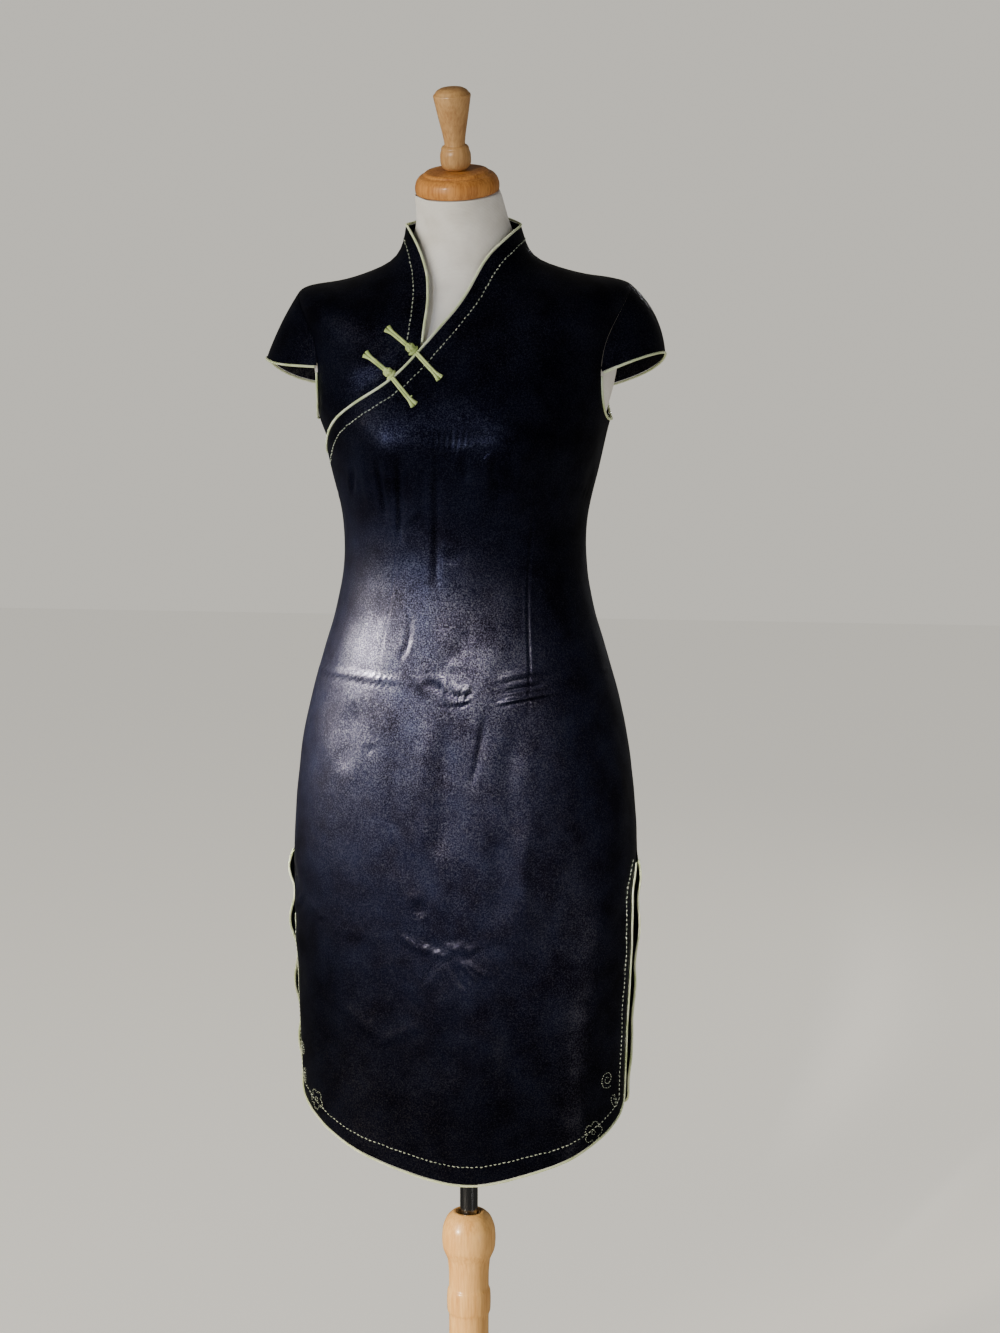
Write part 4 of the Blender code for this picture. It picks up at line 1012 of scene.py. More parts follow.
@dataclass
class Draft:
    """A mesh in the making, joined from several closed shells, with UVs in metres."""

    name: str
    points: list[np.ndarray] = field(default_factory=list)
    corners: list[np.ndarray] = field(default_factory=list)
    sizes: list[np.ndarray] = field(default_factory=list)
    uvs: list[np.ndarray] = field(default_factory=list)

    def add_points(self, points: np.ndarray) -> int:
        """Adds points and returns the index of the first of them."""
        start = sum(len(block) for block in self.points)
        self.points.append(points.reshape(-1, 3))
        return start

    def add_faces(self, faces: np.ndarray, uv: np.ndarray | None = None) -> None:
        """Adds faces of one size as rows of point indices, with a UV for each corner."""
        self.corners.append(faces.ravel())
        self.sizes.append(np.full(len(faces), faces.shape[1]))
        self.uvs.append(np.zeros((faces.size, 2)) if uv is None else uv.reshape(-1, 2))

    def wall(self, points: np.ndarray, out: np.ndarray, thick: float) -> None:
        """Adds a closed wall: the outer grid, the same grid set in, and the rim between them."""
        rows, columns = points.shape[:2]
        count = rows * columns
        start = self.add_points(np.concatenate([points.reshape(-1, 3),
                                                (points - out * thick).reshape(-1, 3)]))
        faces, _, _ = grid_faces(rows, columns)
        if np.mean(face_hints(points, out)) < 0:
            faces = faces[:, ::-1]
        grid = np.arange(count).reshape(rows, columns)
        rim = np.concatenate([grid[0], grid[1:, -1], grid[-1, -2::-1], grid[-2:0:-1, 0]])
        after = np.roll(rim, -1)
        sides = np.stack([rim, rim + count, after + count, after], -1)
        if faces[0, 1] != 1:
            sides = sides[:, ::-1]
        along = lengths(points[rows // 2])
        rise = lengths(points[:, columns // 2])
        flat = np.stack(np.meshgrid(along, rise), -1).reshape(-1, 2)
        flat = np.concatenate([flat, flat])
        for block in (faces, faces[:, ::-1] + count, sides):
            self.add_faces(block + start, flat[block])

    def tube(self, path: np.ndarray, across: np.ndarray, high: np.ndarray,
             wide: np.ndarray, tall: np.ndarray, sides: int = 12, closed: bool = False) -> None:
        """Adds a tube with an elliptical section, closed by flat ends or into a ring.

        Args:
            path: points along the middle.
            across: unit directions of the section's width.
            high: unit directions of the section's height.
            wide: half widths at the points.
            tall: half heights at the points.
            sides: faces round the section.
            closed: whether the last ring meets the first.
        """
        turn = 2 * math.pi * np.arange(sides) / sides
        ring = (across[:, None] * (np.cos(turn)[:, None] * wide[:, None, None])
                + high[:, None] * (np.sin(turn)[:, None] * tall[:, None, None]))
        start = self.add_points(path[:, None] + ring)
        count = len(path)
        faces, row, column = grid_faces(count + int(closed), sides, around=True)
        faces = faces % (count * sides)
        length = lengths(np.concatenate([path, path[:1]]))
        uv = np.stack([column * 2 * math.pi * wide.mean() / sides, length[row]], -1)
        turned_in = np.sum(np.cross(across[0], high[0]) * (path[1] - path[0])) < 0
        if turned_in:
            faces, uv = faces[:, ::-1], uv[:, ::-1]
        self.add_faces(faces + start, uv)
        if closed:
            return
        first = np.arange(sides)[None, :]
        last = first + (count - 1) * sides
        ends = (first[:, ::-1], last) if not turned_in else (first, last[:, ::-1])
        for block in ends:
            self.add_faces(block + start)

    def turned(self, radius: np.ndarray, height: np.ndarray, sides: int,
               basis: np.ndarray, centre: np.ndarray) -> None:
        """Adds a solid of revolution from a profile that starts and ends on its axis."""
        axis, across, ahead = basis
        turn = 2 * math.pi * np.arange(sides) / sides
        circle = np.cos(turn)[:, None] * across + np.sin(turn)[:, None] * ahead
        rings = circle[None] * radius[1:-1, None, None] + axis * height[1:-1, None, None]
        start = self.add_points(centre + rings)
        count = len(radius) - 2
        faces, row, column = grid_faces(count, sides, around=True)
        length = lengths(np.stack([radius, height], -1))[1:-1]
        uv = np.stack([column / sides * 2 * math.pi * radius.max(), length[row]], -1)
        self.add_faces(faces + start, uv)
        poles = self.add_points(centre + np.array([axis * height[0], axis * height[-1]]))
        first = start + np.arange(sides)
        last = first + (count - 1) * sides
        self.add_faces(np.stack([np.full(sides, poles), np.roll(first, -1), first], -1))
        self.add_faces(np.stack([np.full(sides, poles + 1), last, np.roll(last, -1)], -1))

    def build(self, socket: Socket, replaces: tuple[str, ...],
              sharp: float | None = None) -> bpy.types.Object:
        """Makes the object, gives it its material and ties it to the model.

        Args:
            socket: holds the material that it takes.
            replaces: CAD nodes that it stands for.
            sharp: angle in degrees over which an edge stays sharp.

        Returns:
            The finished object.
        """
        mesh = bpy.data.meshes.new(self.name)
        points = np.concatenate(self.points)
        corners = np.concatenate(self.corners).astype(np.int32)
        sizes = np.concatenate(self.sizes).astype(np.int32)
        mesh.vertices.add(len(points))
        mesh.vertices.foreach_set("co", points.astype(np.float32).ravel())
        mesh.loops.add(len(corners))
        mesh.loops.foreach_set("vertex_index", corners)
        mesh.polygons.add(len(sizes))
        starts = np.concatenate([[0], np.cumsum(sizes)[:-1]]).astype(np.int32)
        mesh.polygons.foreach_set("loop_start", starts)
        mesh.uv_layers.new(name="cut").data.foreach_set(
            "uv", np.concatenate(self.uvs).astype(np.float32).ravel())
        mesh.update(calc_edges=True)
        mesh.validate()
        mesh.shade_smooth()
        if sharp is not None:
            mesh.set_sharp_from_angle(angle=math.radians(sharp))
        mesh.materials.append(socket.material)
        item = bpy.data.objects.new(self.name, mesh)
        bpy.context.scene.collection.objects.link(item)
        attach(item, "root")
        if replaces:
            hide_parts(*replaces)
        LOG.info("%s: %d points, %d faces", self.name, len(points), len(sizes))
        return item


def grid_faces(rows: int, columns: int,
               around: bool = False) -> tuple[np.ndarray, np.ndarray, np.ndarray]:
    """Quads of a grid of points, and the row and column of each corner.

    Args:
        rows: rows of points.
        columns: columns of points.
        around: whether the last column meets the first.

    Returns:
        The quads, and their corners' rows and columns, not wrapped where it closes.
    """
    across = columns if around else columns - 1
    row, column = np.meshgrid(np.arange(rows - 1), np.arange(across), indexing="ij")
    row = np.stack([row, row, row + 1, row + 1], -1).reshape(-1, 4)
    column = np.stack([column, column + 1, column + 1, column], -1).reshape(-1, 4)
    return row * columns + column % columns, row, column


def face_hints(points: np.ndarray, out: np.ndarray) -> np.ndarray:
    """Whether each quad of a grid, in its own turning sense, faces the way of its normals."""
    turn = np.cross(points[:-1, 1:] - points[:-1, :-1], points[1:, :-1] - points[:-1, :-1])
    return np.sign(np.sum(turn * out[:-1, :-1], axis=-1))


class Snapper:
    """Finds the nearest place on a panel's outer face."""

    def __init__(self, panel: Panel) -> None:
        """Builds the search tree of the panel's grid."""
        rows, columns = panel.points.shape[:2]
        faces, _, _ = grid_faces(rows, columns)
        flat = panel.points.reshape(-1, 3)
        self.tree = BVHTree.FromPolygons(flat.tolist(), faces.tolist())
        self.facing = float(np.sign(np.mean(face_hints(panel.points, panel.out))))

    def on(self, path: np.ndarray) -> tuple[np.ndarray, np.ndarray]:
        """The nearest points on the face to a path's points, and the face's normals there."""
        hits = [self.tree.find_nearest(Vector(point)) for point in path]
        places = np.array([tuple(hit[0]) for hit in hits])
        out = np.array([tuple(hit[1]) for hit in hits]) * self.facing
        return places, unit(out)


@dataclass(frozen=True)
class Stitch:
    """Size of a running stitch and how uneven a hand makes it."""

    pitch: float = 5.0 * MM
    long: float = 3.4 * MM
    thick: float = 0.52 * MM
    stray: float = 0.22 * MM
    twist: float = 0.10
    rings: int = 7
    sides: int = 6

    def along(self, draft: Draft, path: np.ndarray, out: np.ndarray,
              random: np.random.Generator) -> None:
        """Adds stitches along a path: each is a short arched capsule whose ends dive in.

        Args:
            draft: mesh that takes them.
            path: points close together on the cloth.
            out: unit normals there.
            random: where the unevenness comes from.
        """
        length = lengths(path)
        count = int(length[-1] / self.pitch)
        if count < 1:
            return
        at = (np.arange(count) + 0.5) * length[-1] / count
        at = at + random.normal(0, self.pitch * 0.03, count)
        centre, face = resample_at(path, out, at)
        ahead, _ = resample_at(path, out, at + 0.6 * MM)
        direction = unit(ahead - centre + 1e-9)
        side = unit(np.cross(face, direction))
        swing = random.normal(0, self.twist, count)[:, None]
        direction = unit(direction + side * swing)
        side = unit(np.cross(face, direction))
        centre = centre + side * random.normal(0, self.stray, count)[:, None]
        half = self.long / 2 * random.uniform(0.86, 1.1, count)
        t = np.linspace(-1, 1, self.rings)
        fat = self.thick * np.sqrt(1 - 0.92 * np.abs(t) ** 3)
        lift = self.thick * (0.55 - 1.1 * t ** 4)
        turn = 2 * math.pi * np.arange(self.sides) / self.sides
        middle = (centre[:, None] + direction[:, None] * (half[:, None] * t)[..., None]
                  + face[:, None] * lift[None, :, None])
        ring = (side[:, None, None] * np.cos(turn)[:, None]
                + face[:, None, None] * np.sin(turn)[:, None])
        points = middle[:, :, None] + ring * fat[None, :, None, None]
        start = draft.add_points(points)
        size = self.rings * self.sides
        first = start + np.arange(count)[:, None, None] * size
        faces, _, _ = grid_faces(self.rings, self.sides, around=True)
        draft.add_faces((first + faces[:, ::-1]).reshape(-1, 4))
        low = np.arange(self.sides)[None, :]
        draft.add_faces((first + low).reshape(-1, self.sides))
        high = (low + size - self.sides)[:, ::-1]
        draft.add_faces((first + high).reshape(-1, self.sides))


class Figure(Enum):
    """Outline of a stitched motif."""

    FLOWER = "five round petals and a ring in the middle"
    SPIRAL = "a spiral of two turns"
    ZIGZAG = "a leaf of slanting strokes"


@dataclass(frozen=True)
class Motif:
    """A small stitched motif: its place on a panel, its size and how it is turned."""

    figure: Figure
    angle: float
    z: float
    size: float
    turn: float

    def lines(self) -> list[np.ndarray]:
        """Flat outlines in units of the motif's size."""
        turn = np.linspace(0, 2 * math.pi, 73)
        if self.figure is Figure.FLOWER:
            reach = 0.62 + 0.38 * np.abs(np.sin(2.5 * turn)) ** 0.7
            lines = [np.stack([reach * np.cos(turn), reach * np.sin(turn)], -1),
                     np.stack([0.2 * np.cos(turn), 0.2 * np.sin(turn)], -1)]
        elif self.figure is Figure.SPIRAL:
            reach = 0.12 + 0.88 * np.linspace(0, 1, 97)
            turn = np.linspace(0, 3.6 * math.pi, 97)
            lines = [np.stack([reach * np.cos(turn), reach * np.sin(turn)], -1)]
        else:
            places = np.array([(-1, -0.3), (-0.66, 0.3), (-0.34, -0.3), (0, 0.34), (0.34, -0.3),
                               (0.66, 0.3), (1, -0.3)])
            lines = [places, np.array([(-1, -0.55), (-0.3, -0.75), (0.4, -0.7), (1, -0.5)])]
        cos, sin = math.cos(math.radians(self.turn)), math.sin(math.radians(self.turn))
        return [line @ np.array([[cos, sin], [-sin, cos]]) for line in lines]


MOTIFS = (
    Motif(Figure.FLOWER, -157.5, 514, 23, 10),
    Motif(Figure.SPIRAL, -168.5, 562, 16, 200),
    Motif(Figure.ZIGZAG, -167.5, 534, 17, 78),
    Motif(Figure.FLOWER, -26.0, 491, 25, 40),
    Motif(Figure.SPIRAL, -20.0, 547, 21, 20),
    Motif(Figure.ZIGZAG, -15.0, 520, 17, -62),
)


@dataclass(frozen=True)
class Frog:
    """A knotted fastening: where its two tails end and where knot and eye lie."""

    name: str
    tail: tuple[float, float]
    knot: tuple[float, float]
    eye: tuple[float, float]
    end: tuple[float, float]


FROGS = (
    Frog("upper", (-129.4, 1354.3), (-113.4, 1332.2), (-112.4, 1330.9), (-96.8, 1304.1)),
    Frog("lower", (-135.8, 1328.4), (-122.2, 1307.4), (-121.9, 1305.6), (-108.6, 1277.2)),
)


@dataclass
class Fastening:
    """Both halves of the fastenings, laid as pairs of cords on the cloth.

    Ball and core are shares of the knot's radius, a flare is a share of a leg's length, and what
    binds a leg and the tuft on the lower eye half are in millimetres.
    """

    pattern: Pattern
    sockets: dict[str, Socket]
    cord: float = 1.3 * MM
    knot: float = 5.3 * MM
    eye: float = 1.7 * MM
    wrap: float = 1.15
    fan: float = 0.75
    notch: float = 0.5 * MM
    climb_from: float = 0.45
    climb_over: float = 0.3
    seam: float = 0.3 * MM
    points: int = 60
    strand: float = 0.27
    weave: float = 0.35
    weave_phase: float = 0.5
    ball_reach: float = 1.12
    ball_flat: float = 0.92
    core_wide: float = 0.78
    core_high: float = 0.74
    flare_share: float = 0.26
    flare_power: float = 1.4
    bound_at: float = 0.36
    bound_apart: float = 0.9
    bound_thick: float = 0.35
    tuft_at: int = 14
    tuft_points: int = 6
    tuft_span: tuple[float, float] = (1.6, 4.4)
    tuft_wide: tuple[float, float] = (0.9, 0.7)
    tuft_lift: float = 0.4

    def leg(self, start: tuple[float, float], end: tuple[float, float],
            tucked: bool) -> tuple[np.ndarray, np.ndarray, np.ndarray]:
        """A half's middle line on the cloth with its normals and its sideways directions.

        The half on the front climbs over the piping near its head, and the half on the yoke
        lies on the tucked cloth.
        """
        surface = self.pattern.surface
        at = np.linspace(0, 1, self.points)
        angle = start[0] + (end[0] - start[0]) * at
        z = (start[1] + (end[1] - start[1]) * at) * MM
        path, out = surface.place(angle, z)
        tuck = self.pattern.yoke_tuck(angle, z) if tucked else 0.0
        climb = 0.0 if tucked else 1.5 * MM * smooth((at - self.climb_from) / self.climb_over)
        path = path + out * (climb - tuck + self.seam + self.cord)[:, None]
        return path, out, unit(np.cross(tangents(path), out))

    def add_cord(self, draft: Draft, path: np.ndarray, out: np.ndarray,
                 radius: float | np.ndarray, closed: bool = False) -> None:
        """Adds a cord along a path, round at its thinnest and flat where it is wider."""
        along = tangents(np.concatenate([path[-2:], path, path[:2]]))[2:-2] if closed \
            else tangents(path)
        side = unit(np.cross(along, out))
        wide = np.full(len(path), radius)
        high = np.full(len(path), wide.min())
        draft.tube(path, side, unit(np.cross(side, along)), wide, high, 10, closed)

    def ball(self, draft: Draft, centre: np.ndarray, basis: np.ndarray) -> None:
        """Adds a woven ball knot: a cord round a core, three times about and five bights.

        The cord's latitude swings as the sine of 5/3 of its turn, and its distance from the
        middle swings with twice that, so that it goes over and under itself.
        """
        turn = np.linspace(0, 6 * math.pi, 300, endpoint=False)
        swing = turn * 5 / 3
        latitude = self.ball_reach * np.sin(swing)
        cord = self.knot * self.strand
        over = 1 - np.cos(2 * swing + self.weave_phase)
        reach = self.knot - cord - cord * self.weave * over
        face = np.stack([np.cos(latitude) * np.cos(turn), np.cos(latitude) * np.sin(turn),
                         np.sin(latitude) * self.ball_flat], -1) @ basis
        self.add_cord(draft, centre + face * reach[:, None], unit(face), cord, closed=True)
        share = np.linspace(0, math.pi, 14)
        draft.turned(np.sin(share) * self.knot * self.core_wide,
                     -np.cos(share) * self.knot * self.core_high, 20, basis[[2, 0, 1]], centre)

    def seat(self, frog: Frog) -> tuple[np.ndarray, np.ndarray]:
        """The ball knot's middle and its axes: along its leg, across it and off the cloth."""
        path, out, _ = self.leg(frog.tail, frog.knot, True)
        length = lengths(path)
        middle = length[-1] - self.knot * 0.8
        centre, face = resample_at(path, out, np.array([middle]))
        along = unit(np.gradient(path, axis=0))[np.searchsorted(length, middle) - 1]
        return (centre[0] + face[0] * (self.knot * 0.9 - self.cord),
                np.stack([along, unit(np.cross(face[0], along)), face[0]]))

    def loop(self, draft: Draft, frog: Frog) -> None:
        """Adds the eye: a cord laid round the ball knot, fattest where it meets its leg."""
        centre, basis = self.seat(frog)
        turn = np.linspace(-self.wrap, self.wrap, 36)
        reach = self.knot + self.eye * 0.45
        path = centre + (basis[0] * np.cos(turn)[:, None] + basis[1] * np.sin(turn)[:, None]) * reach
        path = path - basis[2] * (self.knot * (0.1 + 0.6 * (turn / self.wrap) ** 4))[:, None]
        wide = self.eye * (0.8 + 0.35 * np.cos(turn / self.wrap * 1.5))
        draft.tube(path, unit(path - centre), np.repeat(basis[2][None], len(path), 0), wide,
                   wide, 12)

    def half(self, frog: Frog, word: str) -> bpy.types.Object:
        """One half of a fastening, from its fishtail to its knot or eye."""
        button = word == "button"
        start, end = (frog.tail, frog.knot) if button else (frog.end, frog.eye)
        path, out, side = self.leg(start, end, button)
        length = lengths(path)
        keep = length < length[-1] - (self.knot if button else self.eye)
        share = length / length[-1]
        flare = np.clip(1 - share / self.flare_share, 0, 1) ** self.flare_power
        wide = self.cord * (1 + self.fan * flare)
        apart = wide * 0.94 + self.notch * flare ** 2 - self.cord * 0.12 * smooth(share)
        draft = Draft(f"frog_{frog.name}_{word}_cord")
        for sign in (1, -1):
            line = path + side * (apart * sign)[:, None]
            self.add_cord(draft, line[keep], out[keep], wide[keep])
        if button:
            self.ball(draft, *self.seat(frog))
        else:
            self.loop(draft, frog)
        self.bind(draft, path, out, length[-1] * self.bound_at)
        if frog.name == "lower" and not button:
            at, count = self.tuft_at, self.tuft_points
            tuft = path[at] + side[at] * np.linspace(*self.tuft_span, count)[:, None] * MM
            self.add_cord(draft, tuft + out[at] * self.tuft_lift * MM,
                          np.repeat(out[at:at + 1], count, 0),
                          np.linspace(*self.tuft_wide, count) * MM)
        return draft.build(self.sockets["knot_cord"], (f"frog_{frog.name}_{word}",))

    def bind(self, draft: Draft, path: np.ndarray, out: np.ndarray, middle: float) -> None:
        """Adds three turns of thread that hold a leg's cords together."""
        at = middle + np.array([-self.bound_apart, 0.0, self.bound_apart]) * MM
        places, normals = resample_at(path, out, at)
        _, directions = resample_at(path, tangents(path), at)
        turn = np.linspace(0, 2 * math.pi, 24, endpoint=False)[:, None]
        for place, normal, direction in zip(places, normals, directions):
            across = unit(np.cross(direction, normal))
            band = place + across * np.cos(turn) * self.cord * 1.8 \
                + normal * np.sin(turn) * self.cord * 0.9
            thin = np.full(len(band), self.bound_thick * MM)
            draft.tube(band, unit(band - place), np.repeat(direction[None], len(band), 0), thin,
                       thin, 6, closed=True)


@dataclass(frozen=True)
class Trim:
    """Covered piping on a free edge and the running stitches beside it."""

    radius: float = 1.3 * MM
    seam: float = 0.3 * MM
    cloth: float = 1.3 * MM
    sides: int = 12
    uneven: float = 0.05
    inset: float = 14.0 * MM
    swell: float = 5.5 * MM
    reach: float = 0.11
    rows_below_slit: int = 6

    def cord(self, name: str, rim: np.ndarray, out: np.ndarray, towards: np.ndarray,
             socket: Socket, seed: int) -> bpy.types.Object:
        """Covered cord along a rim, just off it, flush with the cloth's inner face.

        Args:
            name: CAD node that it stands for.
            rim: points of the cloth's free edge.
            out: unit normals there.
            towards: directions off the edge.
            socket: slot and material.
            seed: seed of its slight unevenness.

        Returns:
            The finished cord.
        """
        rim, out = resampled(rim, out, 2.2 * MM)
        side = rim_side(rim, out, towards if towards.shape == (3,) else towards.mean(0))
        path = rim + side * (self.seam + self.radius) + out * (self.radius - self.cloth)
        random = np.random.default_rng(seed)
        knots = np.linspace(0, 1, max(6, len(path) // 8))
        wobble = np.interp(np.linspace(0, 1, len(path)), knots, random.normal(0, 1, len(knots)))
        wide = self.radius * (1 + self.uneven * np.clip(wobble, -1.5, 0.8))
        draft = Draft(f"{name}_cord")
        draft.tube(path, side, out, wide, wide, self.sides)
        return draft.build(socket, (name,))

    def skirt_rim(self, panel: Panel) -> tuple[np.ndarray, np.ndarray]:
        """A panel's free rim: down one slit edge, along the hem and up the other."""
        top = panel.slit - self.rows_below_slit
        rows = slice(top, 0, -1)
        path = np.concatenate([panel.points[rows, 0], panel.points[0],
                               panel.points[1:top + 1, -1]])
        face = np.concatenate([panel.out[rows, 0], panel.out[0], panel.out[1:top + 1, -1]])
        return path, face

    def inner_line(self, rim: np.ndarray, out: np.ndarray, towards: np.ndarray,
                   snapper: Snapper, inset: float | np.ndarray) -> tuple[np.ndarray, np.ndarray]:
        """A line that runs beside a rim on the cloth, inside it by the inset."""
        side = rim_side(rim, out, towards)
        return snapper.on(rim - side * inset)


NECK_TRIM = 6.5 * MM
ARMHOLE_TRIM = 8 * MM
SLEEVE_TRIM = 1 * MM
NECK_OPENING = (0, -70, 1460)


@dataclass(frozen=True)
class Cut:
    """Flat size of a cut piece, unrolled, in metres, and half its solid's skin in square metres."""

    word: str
    wide: float
    long: float
    area: float


def rounded(path: np.ndarray, out: np.ndarray, times: int) -> tuple[np.ndarray, np.ndarray]:
    """A path with its corners rounded by averaging each point with its neighbours."""
    for _ in range(times):
        path = np.concatenate([path[:1], (path[:-2] + 2 * path[1:-1] + path[2:]) / 4, path[-1:]])
    return path, out


@dataclass
class Dress:
    """Every piece of the dress, from its cut to its stitches."""

    surface: DressSurface
    sockets: dict[str, Socket]
    front_columns: int = 184
    back_columns: int = 156
    yoke_columns: int = 74
    trim: Trim = field(default_factory=Trim)
    stitch: Stitch = field(default_factory=Stitch)

    def __post_init__(self) -> None:
        """Cuts every piece."""
        pattern = Pattern(self.surface)
        self.pattern = pattern
        front_creases = DRAG_FOLDS + HIP_CREASES + SKIRT_CREASES + TOP_CREASES + FRONT_DARTS
        self.front = pattern.panel("front", self.front_columns, -90, pattern.arm_inset, 1.0, 0,
                                   CreaseField(self.surface, front_creases, 11))
        self.back = pattern.panel("back", self.back_columns, 90, pattern.arm_inset_back,
                                  pattern.back_gap, 1,
                                  CreaseField(self.surface, BACK_CREASES, 23))
        self.yoke = pattern.yoke(CreaseField(self.surface, YOKE_CREASES, 37), self.yoke_columns)
        self.sleeves = {
            "left": pattern.sleeve(LEFT, self.front, self.back),
            "right": pattern.sleeve(RIGHT, self.yoke, self.back),
        }

    def cloth(self, panel: Panel, node: str) -> bpy.types.Object:
        """A panel as a closed thin wall in satin."""
        draft = Draft(f"{node}_cloth")
        draft.wall(panel.points, panel.out, self.pattern.cloth)
        return draft.build(self.sockets["satin"], (node,), sharp=60)

    def pipings(self) -> dict[str, list[bpy.types.Object]]:
        """All the piping, by the piece that it is sewn to."""
        trim, cord = self.trim, self.sockets["trim_cord"]
        front, back, yoke = self.front, self.back, self.yoke
        up = np.array([0.0, 0.0, 1.0])
        made: dict[str, list[bpy.types.Object]] = {"front": [], "back": [], "yoke": []}
        rim, out = trimmed(front.points[-1], front.out[-1], trim.radius * 2, trim.seam)
        made["front"].append(trim.cord("piping_front_edge", rim, out, up, cord, 1))
        rim, out = trimmed(yoke.points[-1], yoke.out[-1], trim.seam, NECK_TRIM)
        made["yoke"].append(trim.cord("piping_yoke_neck", rim, out,
                                      np.array(NECK_OPENING) * MM - rim.mean(0), cord, 2))
        rim, out = trimmed(back.points[-1], back.out[-1], trim.seam, trim.seam)
        made["back"].append(trim.cord("piping_back_collar", rim, out, up, cord, 3))
        for seed, (word, panel) in enumerate((("front", front), ("back", back)), 4):
            rim, out = trim.skirt_rim(panel)
            made[word].append(trim.cord(f"piping_{word}_hem", rim, out, -up, cord, seed))
        return made

    def sleeve_pipings(self, side: Side) -> list[bpy.types.Object]:
        """The piping on a sleeve's hem and on the armhole below it."""
        pattern, trim, cord = self.pattern, self.trim, self.sockets["trim_cord"]
        sleeve = self.sleeves[side.word]
        half = self.front if side is LEFT else self.yoke
        rim, out = trimmed(sleeve.points[-1], sleeve.out[-1], SLEEVE_TRIM, SLEEVE_TRIM)
        hem = trim.cord(f"piping_sleeve_{side.word}", rim, out,
                        rim.mean(0) - sleeve.points[0].mean(0), cord, 6)
        f_points, f_out = pattern.armhole(half, -1 if side.sign > 0 else 0)
        b_points, b_out = pattern.armhole(self.back, 0 if side.sign > 0 else -1)
        front_row = int(pattern.notch_front * pattern.arm_rows)
        back_row = int(pattern.notch_back * pattern.arm_rows)
        rim = np.concatenate([f_points[front_row:0:-1], [(f_points[0] + b_points[0]) / 2],
                              b_points[1:back_row + 1]])
        out = np.concatenate([f_out[front_row:0:-1], [f_out[0]], b_out[1:back_row + 1]])
        above = ARMHOLE_TRIM - side.notch_up * MM
        rim, out = trimmed(rim, out, max(above, 0.3 * MM), ARMHOLE_TRIM)
        hole = trim.cord(f"piping_armhole_{side.word}", rim, out,
                         pattern.arm_hole(side.sign) - rim.mean(0), cord, 7)
        return [hem, hole]

    def stitches(self) -> dict[str, bpy.types.Object]:
        """Running stitches beside the edges and the stitched motifs, one mesh a panel."""
        trim, up = self.trim, np.array([0.0, 0.0, 1.0])
        socket = self.sockets["thread"]
        random = np.random.default_rng(5)
        made = {}
        for word, panel in (("front", self.front), ("back", self.back), ("yoke", self.yoke)):
            draft = Draft(f"{word}_stitches")
            snapper = Snapper(panel)
            rim, out = resampled(panel.points[-1], panel.out[-1], 3 * MM)
            towards = np.array(NECK_OPENING) * MM - rim.mean(0) if word == "yoke" else up
            line, face = trim.inner_line(rim, out, towards, snapper, trim.inset)
            if word == "yoke":
                line, face = trimmed(line, face, 2 * MM, 7 * MM)
            self.stitch.along(draft, line, face, random)
            if word != "yoke":
                rim, out = trim.skirt_rim(panel)
                rim, out = resampled(rim, out, 3 * MM)
                deep = trim.inset + trim.swell * np.exp(-(rim[:, :1] / trim.reach) ** 4)
                line, face = trim.inner_line(rim, out, -up, snapper, deep)
                line, face = rounded(line, face, 5)
                self.stitch.along(draft, line, face, random)
            if word == "front":
                self.motifs(draft, snapper, random)
            made[word] = draft.build(socket, ())
        return made

    def motifs(self, draft: Draft, snapper: Snapper, random: np.random.Generator) -> None:
        """The small stitched motifs near the hem's corners."""
        fine = Stitch(pitch=2.7 * MM, long=2.1 * MM, thick=0.40 * MM, stray=0.1 * MM, twist=0.06,
                      rings=5, sides=5)
        for motif in MOTIFS:
            centre, out = self.surface.place(motif.angle, motif.z * MM)
            across = unit(np.cross(np.array([0.0, 0.0, 1.0]), out))
            rise = np.cross(out, across)
            for line in motif.lines():
                flat = line * motif.size * MM / 2
                path = centre + across * flat[:, :1] + rise * flat[:, 1:]
                path, face = snapper.on(path)
                path, face = resampled(path, face, 0.5 * MM)
                fine.along(draft, path, face, random)

    def build(self) -> None:
        """Makes every piece of the dress."""
        cloths = {
            "front": self.cloth(self.front, "front_main"),
            "yoke": self.cloth(self.yoke, "front_right_yoke"),
            "back": self.cloth(self.back, "back"),
            "left": self.cloth(self.sleeves["left"], "sleeve_left"),
            "right": self.cloth(self.sleeves["right"], "sleeve_right"),
        }
        going = self.pipings()
        for word, item in self.stitches().items():
            going[word].append(item)
        for side in (LEFT, RIGHT):
            hem, hole = self.sleeve_pipings(side)
            going[side.word] = [hem]
            going["back"].append(hole)
        knots = Fastening(self.pattern, self.sockets)
        for frog in FROGS:
            going["yoke"].append(knots.half(frog, "button"))
            going["front"].append(knots.half(frog, "loop"))


@dataclass(frozen=True)
class Turn:
    """A point of a turned profile: radius and height in millimetres."""

    radius: float
    z: float


